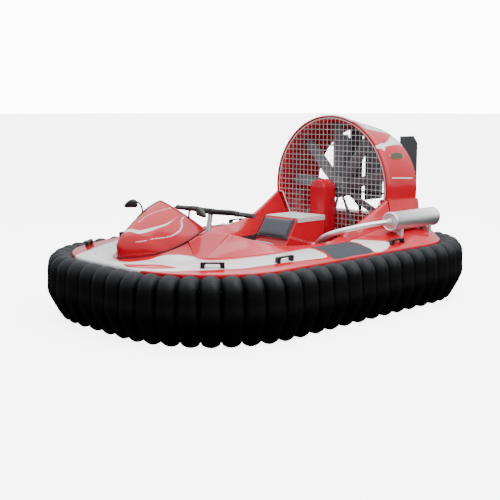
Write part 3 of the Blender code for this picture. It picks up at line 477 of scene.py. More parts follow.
def red_paint(name, white=None, panel=None, settings=None):
    """Gloss gelcoat: red with faint mottling and haze, painted white or laid with grit where attributes say so."""
    look = bpy.context.scene.hovercraft_paint if settings is None else settings
    red, pale, grit = tuple(look.red), tuple(look.white), tuple(look.grit)
    shade = Shade(name, Coat_Roughness=0.03, Specular_IOR_Level=0.30, Coat_IOR=1.5)
    cloud = shade.noise(2.6, 3.0, 0.55)
    haze = shade.noise(34.0, 5.0, 0.6)
    colour = shade.mix(cloud, tuple(c * 0.90 for c in red), tuple(min(c * 1.10, 1.0) for c in red))
    rough = haze * 0.10 + 0.12
    coat = 0.45
    ripple = shade.bump(shade.noise(9.0, 2.0), 0.05, 0.004)
    if white:
        mask = shade.edge(shade.attribute(white))
        colour = shade.mix(mask, colour, shade.mix(haze, tuple(c * 0.95 for c in pale), pale))
    if panel:
        mask = shade.edge(shade.attribute(panel))
        grains = shade.cells(520.0)
        colour = shade.mix(mask, colour, shade.mix(grains, tuple(c * 0.8 for c in grit), tuple(c * 1.2 for c in grit)))
        rough = rough * (1 - mask) + mask * 0.78
        coat = (1 - mask) * 0.45
        ripple = shade.add("Bump", 0, {}, {"Height": grains, "Strength": mask * 0.9, "Distance": 0.0012,
                                           "Normal": ripple})
    return shade.finish(Base_Color=colour, Roughness=rough, Coat_Weight=coat, Normal=ripple)


def plain_finish(name, dark, light, rough, metallic=0.0, grain=400.0, depth=0.25, mottle=6.0, spread=0.12,
                 stretch=(1.0, 1.0, 1.0), **constants):
    """Two close colours clouded together, a roughness that wanders, and a fine grain in relief."""
    shade = Shade(name, Metallic=metallic, **constants)
    cloud = shade.noise(mottle, 4.0, 0.55)
    fine = shade.noise(grain, 3.0, 0.6, stretch)
    colour = shade.mix(cloud * 0.7 + fine * 0.3, dark, light)
    return shade.finish(Base_Color=colour, Roughness=fine * spread + (rough - spread / 2) + cloud * 0.06 - 0.03,
                        Normal=shade.bump(fine, depth, 0.0006))


def rubber_finish():
    """Coated cloth of the skirt: near black, with slack folds, a fine weave and a little dust low down."""
    shade = Shade("skirt_rubber", Specular_IOR_Level=0.14)
    weave = shade.add("TexWave", "Fac", {"bands_direction": "Z"}, {"Vector": shade.coords(), "Scale": 260.0,
                                                                   "Distortion": 1.5})
    folds = shade.noise(7.0, 3.0, 0.5, (1.0, 1.0, 0.35))
    crumple = shade.noise(38.0, 4.0, 0.6)
    height = shade.add("SeparateXYZ", "Z", {}, {0: shade.add("TexCoord", "Object")})
    dust = ((0.10 - height) / 0.10).clamped() * crumple
    # painted sheen: above 0.335 m the rubber turns greyer, standing in for the sky's light on the tops
    painted_top_sheen = ((height - 0.335) / 0.06).clamped()
    black = shade.mix(crumple, (0.0010, 0.0010, 0.0011), (0.0022, 0.0022, 0.0025))
    sheen_grey_tops = shade.mix(crumple, (0.011, 0.0125, 0.0155), (0.019, 0.021, 0.025))
    colour = shade.mix(dust * 0.10, shade.mix(painted_top_sheen, black, sheen_grey_tops), (0.03, 0.028, 0.025))
    relief = shade.bump(folds * 0.8 + crumple * 0.2 + weave * 0.01, 0.30, 0.012)
    return shade.finish(Base_Color=colour, Roughness=crumple * 0.16 + 0.36, Normal=relief)


def metal_finish(name, colour, rough, stretch, base=1.0):
    """Brushed metal: streaks along one way in the roughness and the relief."""
    shade = Shade(name, Metallic=base)
    streak = shade.noise(60.0, 6.0, 0.65, stretch)
    cloud = shade.noise(5.0, 3.0)
    tone = shade.mix(streak * 0.6 + cloud * 0.4, tuple(c * 0.80 for c in colour), colour)
    return shade.finish(Base_Color=tone, Roughness=streak * 0.14 + (rough - 0.07) + cloud * 0.05,
                        Normal=shade.bump(streak, 0.10, 0.0004))


def cloth_finish(name, dark, light, rough=0.55):
    """Marine vinyl: a pebbled grain of small cells in relief."""
    shade = Shade(name, Sheen_Weight=0.08)
    pebbles = shade.cells(420.0, feature="SMOOTH_F1")
    cloud = shade.noise(9.0, 4.0)
    colour = shade.mix(pebbles * 0.5 + cloud * 0.5, dark, light)
    return shade.finish(Base_Color=colour, Roughness=pebbles * 0.1 + rough - 0.05 + cloud * 0.05,
                        Normal=shade.bump(pebbles, 0.35, 0.0006))


MATERIALS = {}


def finish(name):
    """Material by name, made when it is first asked for."""
    if name not in MATERIALS:
        MATERIALS[name] = RECIPES[name]()
    return MATERIALS[name]


RECIPES = {
    "red": lambda: red_paint("red_gelcoat"),
    "red_deck": lambda: red_paint("deck_gelcoat", "white", "panel"),
    "red_striped": lambda: red_paint("striped_gelcoat", "white"),
    "rubber": rubber_finish,
    "hull": lambda: plain_finish("hull_laminate", (0.016, 0.016, 0.018), (0.03, 0.03, 0.033), 0.55),
    "black": lambda: plain_finish("black_moulding", (0.0030, 0.0030, 0.0036), (0.0070, 0.0070, 0.0080), 0.42),
    "grip": lambda: plain_finish("grip_rubber", (0.036, 0.039, 0.045), (0.060, 0.064, 0.072), 0.6, grain=900.0),
    "pad": lambda: cloth_finish("backrest_vinyl", (0.026, 0.032, 0.044), (0.040, 0.048, 0.062), 0.48),
    "pad_edge": lambda: cloth_finish("backrest_edge", (0.003, 0.003, 0.004), (0.006, 0.006, 0.008), 0.5),
    "cushion": lambda: cloth_finish("cushion_vinyl", (0.15, 0.175, 0.21), (0.22, 0.25, 0.29), 0.5),
    # dark red of the cowl's foot seal, made dark enough to stand in for the shade under the cowl as well
    "seal": lambda: plain_finish("seal_and_painted_shade", (0.030, 0.0006, 0.0020), (0.045, 0.0010, 0.0030), 0.40),
    "sheet": lambda: metal_finish("sheet_alloy", (0.92, 0.92, 0.93), 0.42, (0.04, 1.0, 1.0), 0.6),
    "tube": lambda: metal_finish("tube_alloy", (0.90, 0.91, 0.93), 0.36, (0.06, 1.0, 1.0), 0.9),
    "column": lambda: metal_finish("column_alloy", (0.85, 0.86, 0.88), 0.32, (1.0, 1.0, 0.06), 0.7),
    "wire": lambda: metal_finish("guard_wire", (0.80, 0.80, 0.82), 0.42, (1.0, 1.0, 1.0), 0.25),
    "rim": lambda: plain_finish("guard_rim", (0.72, 0.70, 0.71), (0.84, 0.82, 0.83), 0.35),
    "bolt": lambda: metal_finish("bolt_steel", (0.60, 0.60, 0.62), 0.30, (1.0, 1.0, 1.0)),
    "iron": lambda: plain_finish("cast_iron", (0.015, 0.015, 0.015), (0.035, 0.034, 0.032), 0.55, 0.6),
    "fan": lambda: plain_finish("fan_composite", (0.115, 0.122, 0.135), (0.190, 0.200, 0.215), 0.45, grain=250.0),
    "rudder": lambda: plain_finish("rudder_laminate", (0.024, 0.027, 0.034), (0.038, 0.042, 0.051), 0.50),
    "glass": lambda: metal_finish("mirror_glass", (0.82, 0.84, 0.86), 0.08, (1.0, 1.0, 1.0)),
    "badge": lambda: plain_finish("badge_plate", (0.055, 0.060, 0.030), (0.095, 0.100, 0.055), 0.35, 0.4),
    "badge_edge": lambda: metal_finish("badge_border", (0.45, 0.40, 0.22), 0.35, (1.0, 1.0, 1.0), 0.8),
    "rule": lambda: plain_finish("white_rule", (0.74, 0.74, 0.75), (0.80, 0.80, 0.81), 0.35),
}


# Settings

def colour_setting(name, text, value):
    return bpy.props.FloatVectorProperty(name=name, description=text, subtype="COLOR", size=3, min=0.0, max=1.0,
                                         default=value)


def length_setting(name, text, value, low=0.0):
    return bpy.props.FloatProperty(name=name, description=text, unit="LENGTH", subtype="DISTANCE", default=value,
                                   min=low, precision=4)


class HovercraftPaint(bpy.types.PropertyGroup):
    red: colour_setting("Red", "Gelcoat of the deck, body, cowl and duct", (0.52, 0.0040, 0.0170))
    white: colour_setting("White", "Painted sweeps and lines", (0.80, 0.80, 0.81))
    grit: colour_setting("Grit panel", "Non-slip panel on the deck", (0.040, 0.046, 0.056))


class HovercraftSkirt(bpy.types.PropertyGroup):
    segments: bpy.props.IntProperty(name="Segments", description="Rubber segments round the craft", default=64, min=8)
    columns: bpy.props.IntProperty(name="Columns", description="Grid columns in one segment", default=16, min=4)
    squareness: bpy.props.FloatProperty(name="Squareness", description="How full a segment is between its creases",
                                        default=1.9, min=1.0)


class HovercraftGuard(bpy.types.PropertyGroup):
    pitch: length_setting("Mesh pitch", "Distance between the guard's wires", 0.039, 0.01)
    wire: length_setting("Wire", "Diameter of the guard's wires", 0.0034, 0.001)
    rim: length_setting("Rim", "Diameter of the guard's rim rod", 0.009, 0.002)


class HovercraftStage(bpy.types.PropertyGroup):
    focal: bpy.props.FloatProperty(name="Focal length", description="Camera lens on a 36 mm sensor", unit="CAMERA",
                                   default=64.03)
    position: bpy.props.FloatVectorProperty(name="Camera", description="Camera's place", subtype="TRANSLATION", size=3,
                                            unit="LENGTH", default=(4.409, 4.403, 1.332))
    heading: bpy.props.FloatProperty(name="Heading", description="Camera's heading from +X to +Y", unit="ROTATION",
                                     subtype="ANGLE", default=math.radians(225.756))
    dip: bpy.props.FloatProperty(name="Dip", description="How far the camera looks down", unit="ROTATION",
                                 subtype="ANGLE", default=math.radians(8.889))
    floor: colour_setting("Floor", "Pale floor", (0.86, 0.86, 0.86))
    lift: bpy.props.FloatProperty(name="Floor lift", description="Brightness added to the floor for the camera",
                                  default=6.0, min=0.0)
    sky: bpy.props.FloatProperty(name="Sky", description="Strength of the sky's light", default=1.0, min=0.0)
    backdrop: bpy.props.FloatProperty(name="Backdrop", description="Brightness behind the craft", default=13.0, min=0.0)


# Pieces

def make_skirt():
    """Rubber segments. A point is the section's at its height, drawn in and up towards each crease by
    1 - (1 - |2u - 1|^n)^(1/n), where u runs across the segment."""
    look = bpy.context.scene.hovercraft_skirt
    section = np.array((
        (0.195, 0.3897, 0.000, 0.000), (0.166, 0.3897, 0.000, 0.000), (0.142, 0.4040, 0.006, -0.022),
        (0.106, 0.4170, 0.016, -0.042), (0.060, 0.4140, 0.032, -0.054), (0.020, 0.3830, 0.050, -0.052),
        (0.003, 0.3370, 0.056, -0.030), (0.000, 0.2600, 0.048, -0.008), (0.000, 0.1730, 0.036, 0.000),
        (0.040, 0.0850, 0.030, 0.008), (0.078, 0.0180, 0.018, 0.022), (0.098, 0.0000, 0.010, 0.034),
        (0.120, 0.0000, 0.000, 0.034), (0.125, 0.0400, 0.000, 0.012), (0.070, 0.1400, 0.000, 0.000),
        (0.056, 0.3350, 0.000, 0.000), (0.195, 0.3680, 0.000, 0.000)))
    curve = np.vstack([section[:2], through(section[1:12], 44)[1:], section[12:]])
    names = ("skirt_bow", "skirt_port", "skirt_stern", "skirt_starboard")
    each = look.segments // 4
    for part, name in enumerate(names):
        column = np.linspace(0.0, each, each * look.columns + 1)
        across = np.abs(2 * np.mod(column, 1.0) - 1)
        across[np.abs(column - np.round(column)) < 1e-6] = 1.0
        drawn = 1 - (1 - across ** look.squareness) ** (1 / look.squareness)
        column[0] += 0.0006
        column[-1] -= 0.0006
        share = ((part - 0.5) * each + column)[:, None] / look.segments
        inset = curve[:, 0] + drawn[:, None] * curve[:, 2]
        height = curve[:, 1] + drawn[:, None] * curve[:, 3]
        plan = along_outline(np.broadcast_to(share, inset.shape), inset)
        rings = np.concatenate([plan, height[..., None]], 2)
        piece(name + "_fine", [rings], finish("rubber"), replaces=(name,), sharp=55.0)


def foot_line(steps=12):
    """Foot of the body on the deck, closed: x, y, z round from the bow over port, stern and starboard."""
    port = np.vstack([BODY_LINE[:, 1:4], TAIL_LINE[1:, :3]])
    port[0, 0] += 0.0006
    port[-1, 0] -= 0.0006
    ring = np.vstack([port, port[::-1] * (1, -1, 1), port[:1]])
    t = np.linspace(0.0, len(ring) - 1.0, (len(ring) - 1) * steps + 1)
    return np.stack([np.interp(t, np.arange(len(ring)), ring[:, i]) for i in range(3)], 1)


def at_bearing(line, bearing):
    """Point of a closed line seen from the origin at a bearing."""
    angles = np.unwrap(np.arctan2(line[:, 1], line[:, 0]))
    turn = angles[0] + np.mod(bearing - angles[0], 2 * math.pi)
    return np.stack([np.interp(turn, angles, line[:, i]) for i in range(line.shape[1])], -1)


def deck_paint(plan):
    """White and grit distances at plan points."""
    mirrored = np.stack([plan[..., 0], np.abs(plan[..., 1])], -1)
    sweep = np.minimum(inside_distance(plan, rounded(WHITE_SWEEP)), -inside_distance(plan, rounded(RED_LEAF)))
    white = np.maximum.reduce([sweep, inside_distance(plan, rounded(WHITE_BOW)),
                               inside_distance(mirrored, rounded(WHITE_AFT))])
    return white, inside_distance(mirrored, rounded(GRIP_PANEL, 4))


def make_deck():
    """Crowned deck: along each bearing the height rises from the lip to the foot as 1 - (1 - s)^2.43."""
    bearings = np.linspace(0.0, 2 * math.pi, 721)[:-1]
    foot = at_bearing(foot_line(), bearings)
    def rim(inset):
        line = OUTLINE - inset * OUTLINE_NORMAL
        return at_bearing(line, bearings)
    s = np.linspace(0.0, 1.0, 34) ** 1.15
    edge = rim(DECK_INSET + 0.006)
    top = edge[:, None] + s[None, :, None] * (foot[:, None, :2] - edge[:, None])
    height = DECK_EDGE_Z + (1 - (1 - s) ** 2.43) * (foot[:, 2:] - DECK_EDGE_Z)
    crown = np.concatenate([top, height[..., None]], 2)
    def level(plan, z):
        return np.concatenate([plan, np.full((len(plan), 1), z)], 1)[:, None]
    lip = [level(rim(DECK_INSET + 0.004), DECK_BASE_Z), level(rim(DECK_INSET + 0.0008), DECK_BASE_Z + 0.0015),
           level(rim(DECK_INSET), DECK_BASE_Z + 0.006), level(rim(DECK_INSET), DECK_EDGE_Z - 0.008),
           level(rim(DECK_INSET + 0.0015), DECK_EDGE_Z - 0.003), level(rim(DECK_INSET + 0.004), DECK_EDGE_Z - 0.0006)]
    under = [level(foot[:, :2], DECK_BASE_Z)]
    rings = np.concatenate([*lip, crown, *under], 1)
    white, panel = deck_paint(rings[..., :2])
    piece("deck_fine", [placed(rings, white=white, panel=panel)], finish("red_deck"), replaces=("deck",), sharp=30.0,
          closed=True)


def eased(rows, each, spread):
    """Rows joined by straight lines, then averaged along the line with a bell whose width is in rows."""
    rows = np.asarray(rows, float)
    t = np.linspace(0.0, len(rows) - 1.0, (len(rows) - 1) * each + 1)
    fine = np.stack([np.interp(t, np.arange(len(rows)), column) for column in rows.T], 1)
    reach = int(3 * spread * each)
    bell = np.exp(-0.5 * (np.arange(-reach, reach + 1) / (spread * each)) ** 2)
    padded = np.vstack([2 * fine[0] - fine[reach:0:-1], fine, 2 * fine[-1] - fine[-2:-reach - 2:-1]])
    return np.stack([np.convolve(column, bell / bell.sum(), "valid") for column in padded.T], 1)


def make_body():
    """Body sides, plinth and tail: filleted sections on the body line, eased between its ends and its crease."""
    low = DECK_BASE_Z + 0.0003
    each = 24
    front, rear = eased(BODY_LINE[:CREASE + 1], each, 0.42), eased(BODY_LINE[CREASE:], each, 0.30)
    start = SIDE_START * each
    fine = np.vstack([front[start:], rear[1:]])
    fine[:, 6] = np.interp(fine[:, 0], BODY_LINE[SIDE_START:, 0][::-1], BODY_LINE[SIDE_START:, 6][::-1])
    x, fx, fy, fz, ty, tz, wy = fine.T
    fy = fy - 0.001
    outer = np.minimum(ty + 0.014, fy - 0.004)
    ones = np.ones_like(x)
    ring = np.stack([np.stack([a, b, c], 1) for a, b, c in (
        (fx, fy, low * ones), (fx, fy, fz), (x, outer, tz - 0.002), (x, ty, tz), (x, ty - 0.014, tz - 0.003),
        (x, wy, low * ones))], 1)
    radius = np.array((0.0, 0.004, 0.012, 0.010, 0.012, 0.0))[None, :, None]
    steps = np.linspace(0.0, 1.0, 13)[:, None]
    for side, name in ((1, "port"), (-1, "starboard")):
        rings = fillet(ring, radius, 5)
        dense = rings[:, :, None] * (1 - steps) + np.roll(rings, -1, 1)[:, :, None] * steps
        rings = dense[:, :, :-1].reshape(len(rings), -1, 3) * (1, side, 1)
        white = deck_paint(rings[..., :2])[0]
        piece(f"body_side_{name}_fine", [placed(rings, white=white)], finish("red_striped"),
              replaces=("body_side_" + name,), sharp=50.0)
    x, fx, fy, fz, ty, tz, _ = front[:start + 1].T
    fy = fy - 0.001
    ones = np.ones_like(x)
    half = [(fx, fy, low * ones), (fx, fy, fz), (0.5 * (x + fx), 0.5 * (ty + fy), 0.5 * (fz + tz)), (x, ty, tz)]
    ring = np.stack([np.stack(point, 1) for point in half] +
                    [np.stack((x, -y, z), 1) for x, y, z in half[::-1]], 1)
    rings = fillet(ring, np.array((0.0, 0.003, 0.01, 0.003, 0.003, 0.01, 0.003, 0.0))[None, :, None], 4)
    dense = (rings[:, :, None] * (1 - steps) + np.roll(rings, -1, 1)[:, :, None] * steps)[:, :, :-1]
    rings = dense.reshape(len(rings), -1, 3)
    white = deck_paint(rings[..., :2])[0]
    piece("bow_plinth_fine", [placed(rings, white=white)], finish("red_striped"), replaces=("bow_plinth",), sharp=50.0)
    NODES["tail_body"].data.materials.clear()
    NODES["tail_body"].data.materials.append(finish("red"))


def seam_z(x):
    return SEAM_FRONT_Z + (SEAM_REAR_Z - SEAM_FRONT_Z) * (x + 0.711) / (DUCT_REAR_X + 0.711)


def make_duct():
    """Duct: a closed profile of outer skin and bore, whose rows are superellipses about the fan's axis."""
    skin = np.vstack([DUCT_SKIN[:3], through(DUCT_SKIN[2:], 40)[1:]])
    bore = np.vstack([through(DUCT_BORE[:6], 40), DUCT_BORE[6:]])
    rows = np.vstack([skin, np.stack([bore[:, 0], bore[:, 1], bore[:, 1], np.full(len(bore), 2.0)], 1)])
    x, half, height, power = rows.T
    drop = np.clip((FAN_Z - seam_z(x)) / height, 0.0, 1.0)
    low = -np.arcsin(drop ** (power / 2))
    t = np.linspace(0.0, 1.0, 181)[:, None]
    angle = low + t * (math.pi - 2 * low)
    y, z = superellipse(angle, half, height, power)
    rings = np.stack([np.broadcast_to(x, y.shape), y, FAN_Z + z], 2)
    flat = rings[..., (0, 2)]
    outside = np.arange(len(x)) < len(skin)
    chine = np.interp(-rings[..., 0], (0.700, 0.780, 0.950, 1.106), (0.190, 0.291, 0.292, 0.262))
    top = np.where(rings[..., 2] > FAN_Z, chine - np.abs(rings[..., 1]), -1.0)
    side = inside_distance(flat, rounded(DUCT_SWEEP))
    white = np.where(outside, np.maximum(top, side), -1.0)
    piece("duct_shell_fine", [placed(rings, white=white)], finish("red_striped"), replaces=("duct_shell",), sharp=32.0)
    path = np.linspace((-0.796, 0.855), (-1.053, 0.840), 40)
    for sign, side in ((1, "port"), (-1, "starboard")):
        rule = [on_duct(path[:, 0], path[:, 1] + dz, out, sign) for dz, out in (
            (0.0045, -0.001), (0.0045, 0.0006), (-0.0045, 0.0006), (-0.0045, -0.001))]
        piece("duct_rule_" + side, [np.stack(rule, 1)], finish("rule"), sharp=30.0)
        a = np.linspace(0.0, 2 * math.pi, 64, endpoint=False)
        def oval(size, out):
            return on_duct(-0.924 + size * np.cos(a), 1.006 + size * 0.235 * np.sin(a), out, sign)
        plate = [oval(size, out) for size, out in ((0.080, -0.004), (0.096, -0.002), (0.0965, 0.003), (0.094, 0.005),
                                                   (0.088, 0.005), (0.086, 0.003), (0.060, 0.002))]
        piece("duct_plate_rim_" + side, [np.stack(plate)], finish("badge_edge"), sharp=30.0)
        face = [oval(size, out) for size, out in ((0.070, 0.0022), (0.0858, 0.0026), (0.0855, 0.0036), (0.083, 0.0042),
                                                  (0.030, 0.0044))]
        piece("duct_plate_" + side, [np.stack(face)], finish("badge"), sharp=30.0)


def on_duct(x, z, out, sign):
    """Points on the duct's side at x and z, moved out along y and z by the superellipse's slope."""
    half, height, power = (np.interp(-x, -DUCT_SKIN[:, 0], DUCT_SKIN[:, i]) for i in (1, 2, 3))
    rise = (z - FAN_Z) / height
    y = half * (1 - np.abs(rise) ** power) ** (1 / power)
    slope = np.stack([(y / half) ** (power - 1) / half, np.sign(rise) * np.abs(rise) ** (power - 1) / height])
    slope /= np.linalg.norm(slope, axis=0)
    return np.stack([x, sign * (y + out * slope[0]), z + out * slope[1]], -1)


def guard_outline(shrink=0.0):
    """Guard's outline, closed, in y and z: a round top on a funnel foot."""
    radius = 0.529 - shrink
    start = -math.asin((FAN_Z - 0.700) / radius)
    a = np.linspace(start, math.pi - start, 97)
    top = np.stack([radius * np.cos(a), FAN_Z + radius * np.sin(a)], 1)
    foot = np.array(((0.493, 0.696), (0.336, 0.392), (0.250, 0.225)))
    left = foot * (-1, 1) + (shrink, shrink)
    right = foot[::-1] + (-shrink, shrink)
    return np.vstack([top, left, right])


def spans(outline, value, axis):
    """Pairs of crossings of a closed outline with a straight line across it."""
    a, b = outline, np.roll(outline, -1, 0)
    other = 1 - axis
    hit = (a[:, axis] > value) != (b[:, axis] > value)
    share = (value - a[hit, axis]) / (b[hit, axis] - a[hit, axis])
    places = np.sort(a[hit, other] + share * (b[hit, other] - a[hit, other]))
    return places.reshape(-1, 2)


def make_guard():
    """Welded mesh: round wires at one pitch across and up, in a rim rod."""
    look = bpy.context.scene.hovercraft_guard
    outline = guard_outline(look.rim / 2)
    inner = guard_outline(look.rim / 2)
    wires = []
    reach = int(0.55 / look.pitch)
    for k in range(-reach, reach + 1):
        for axis, x in ((0, GUARD_X - 0.0018), (1, GUARD_X - 0.0018 - look.wire * 0.85)):
            value = k * look.pitch + (0.012 if axis == 0 else FAN_Z + 0.010)
            for low, high in spans(inner, value, axis):
                ends = [(x, value, low), (x, value, high)] if axis == 0 else [(x, low, value), (x, high, value)]
                wires.append(carried(np.array(ends), disc(6, look.wire / 2), up=(1.0, 0.0, 0.0)))
    rim = np.column_stack([np.full(len(outline), GUARD_X - 0.003), outline])
    ahead = np.roll(rim, -1, 0) - np.roll(rim, 1, 0)
    ahead /= np.linalg.norm(ahead, axis=1, keepdims=True)
    out = np.cross(ahead, (1.0, 0.0, 0.0))
    ring = disc(10, 1.0)
    rod = rim[:, None] + 0.5 * look.rim * ring[None, :, :1] * out[:, None] + 0.0028 * ring[None, :, 1:] * np.array((1.0, 0, 0))
    piece("fan_guard_wires", wires, finish("wire"), replaces=("fan_guard",), sharp=60.0)
    piece("fan_guard_rim", [rod], finish("rim"), closed=True, sharp=60.0)


def make_fan():
    """Hub turned from a profile, and blades: a cambered thin section scaled and twisted from root to tip."""
    home = np.array((FAN_X, 0.0, FAN_Z))
    hub = turned([(0.0448, 0.0001), (0.0448, 0.050), (0.043, 0.060), (0.036, 0.072), (0.028, 0.078), (-0.028, 0.078),
                  (-0.036, 0.074), (-0.050, 0.055), (-0.057, 0.020), (-0.058, 0.0001)], home, (1, 0, 0), 64)
    parts = [hub]
    rows = through(((0.060, 0.034, 48.0, 0.20), (0.180, 0.041, 36.0, 0.14), (0.320, 0.041, 27.0, 0.10),
                    (0.440, 0.038, 22.0, 0.08), (FAN_RADIUS, 0.036, 21.0, 0.07)), 26)
    u = np.linspace(0.0, 2 * math.pi, 28, endpoint=False)
    chord = -np.cos(u)
    thick = np.sin(u) * np.sqrt(np.clip(1.05 - chord * 0.45, 0.2, 2.0))
    for blade in range(9):
        turn = math.radians(40.0 * blade + 4.0)
        radius, half, pitch, fat = rows.T[:, :, None]
        end = np.clip((FAN_RADIUS - radius) / 0.03, 0.0, 1.0)
        half = half * (0.72 + 0.28 * np.sqrt(end))
        along = chord[None] * half
        proud = thick[None] * half * fat + 0.07 * half * (1 - chord[None] ** 2)
        a = np.radians(-pitch)
        fore = along * np.sin(a) + proud * np.cos(a)
        side = along * np.cos(a) - proud * np.sin(a)
        y = side * math.cos(turn) - radius * math.sin(turn)
        z = side * math.sin(turn) + radius * math.cos(turn)
        parts.append(np.stack([home[0] + fore, home[1] + y, home[2] + z], 2))
    piece("fan_fine", parts, finish("fan"), body="fan", replaces=("fan",), sharp=40.0)
    bolts = []
    for k in range(6):
        a = math.radians(60.0 * k + 15.0)
        centre = home + (0.0, 0.048 * math.cos(a), 0.048 * math.sin(a))
        bolts.append(turned([(0.040, 0.0001), (0.040, 0.0085), (0.0495, 0.0085), (0.051, 0.007), (0.051, 0.0001)],
                            centre, (1, 0, 0), 6))
    piece("fan_hub_bolts", bolts, finish("bolt"), body="fan", sharp=30.0)


def make_rudders():
    """Rudders: copies with soft edges; the rails and the fin keep their shape."""
    for name in ("rudder_port", "rudder_centre", "rudder_starboard"):
        softened(name, finish("rudder"), 0.0018, body=name, segments=2)
    for name in ("rudder_rail_upper", "rudder_rail_lower", "duct_fin"):
        softened(name, finish("black"), 0.0015, segments=2)


def cowl_rings(line, steps):
    """Arches from port to starboard that lean from the base to the crown as they rise."""
    base_x, half, base_z, crown_x, crown_z, power = (column[:, None] for column in line.T)
    a = np.linspace(0.0, math.pi, steps + 1)[None]
    across, rise = superellipse(a, half, 1.0, power)
    return np.stack([base_x + rise * (crown_x - base_x), across, base_z + rise * (crown_z - base_z)], 2)


def make_cowl():
    """Nose cowl: superelliptic arches on a smooth line, as a shell with a rear wall, and its painted lines."""
    line = through(COWL_LINE, 110)
    outer = cowl_rings(line, 96)
    inner_line = line.copy()
    inner_line[:, 1] = np.maximum(inner_line[:, 1] - 0.010, 0.004)
    inner_line[:, 4] -= 0.010
    inner_line[:, 3] -= 0.004
    inner = cowl_rings(inner_line, 96)
    rings = np.concatenate([outer, inner[:, ::-1]], 1)
    mirrored = outer * (1, 0, 1) + np.abs(outer) * (0, 1, 0)
    lines = [[(*point[:3], max(point[3], THINNEST)) for point in row] for row in COWL_LINES]
    white = np.maximum.reduce([line_distance(mirrored, row) for row in lines])
    white = np.concatenate([white, np.full(inner.shape[:2], -1.0)], 1)
    wall_line = line[:1].repeat(4, 0)
    wall = cowl_rings(wall_line, 96)
    wall[:, :, 0] += np.array((0.0, 0.0008, 0.009, 0.010))[:, None]
    centre = np.array((0.0, 0.0, COWL_LINE[0, 2]))
    shrink = np.array((0.996, 1.0, 1.0, 0.996))[:, None, None]
    wall = np.concatenate([wall[..., :1], (wall[..., 1:] - centre[1:]) * shrink + centre[1:]], 2)
    piece("nose_cowl_fine", [placed(rings, white=white), placed(wall, white=-1.0)], finish("red_striped"),
          replaces=("nose_cowl",), sharp=30.0)
    softened("dash_panel", finish("black"), 0.004)


def make_mirrors():
    """Mirrors: a leaf outline on the housing's back, domed forward as the root of what is left to its edge."""
    leaf = through(((-0.036, 0.016), (-0.040, -0.004), (-0.030, -0.019), (0.020, -0.025), (0.055, -0.026),
                    (0.062, -0.015), (0.050, 0.003), (0.018, 0.026), (-0.004, 0.034), (-0.026, 0.028),
                    (-0.036, 0.016)), 61)[:-1]
    middle = np.array((0.006, 0.001))
    for side, name in ((1, "port"), (-1, "starboard")):
        flip = np.array((1, side, 1))
        foot, head = np.array((0.872, 0.232, 0.664)), np.array((0.880, 0.343, 0.722))
        joint = head + (0.004, -0.030, 0.018)
        path = through((foot, (0.876, 0.236, 0.700), (0.880, 0.248, 0.728), (0.884, 0.272, 0.742), joint), 30) * flip
        stem = carried(path, disc(12, 0.0058), up=(1.0, 0.0, 0.0))
        collar = turned([(-0.002, 0.0001), (-0.002, 0.012), (0.004, 0.011), (0.009, 0.0075), (0.009, 0.0001)],
                        foot * flip, (0.0, side * 0.35, 0.94), 24)
        rings = []
        for size, depth in ((0.86, -0.001), (0.94, -0.003), (0.99, -0.002), (1.0, 0.003), (0.97, 0.011), (0.88, 0.019),
                            (0.70, 0.025), (0.45, 0.028), (0.15, 0.029)):
            flat = middle + (leaf - middle) * size
            depths = depth + 0.22 * flat[:, 0]
            rings.append(np.stack([head[0] - 0.010 + depths, head[1] + flat[:, 0], head[2] + flat[:, 1]], 1) * flip)
        piece(f"mirror_{name}_fine", [stem, collar, np.array(rings)], finish("black"), replaces=("mirror_" + name,),
              sharp=40.0)
        flat = middle + (leaf - middle) * 0.855
        lens = [np.stack([head[0] - 0.010 + depth + 0.22 * flat[:, 0], head[1] + middle[0] * (1 - size) + flat[:, 0] * size,
                          head[2] + middle[1] * (1 - size) + flat[:, 1] * size], 1) * flip
                for depth, size in ((-0.0012, 1.0), (-0.0030, 0.98), (-0.0032, 0.94))]
        piece(f"mirror_glass_{name}", [np.array(lens)], finish("glass"), sharp=30.0)


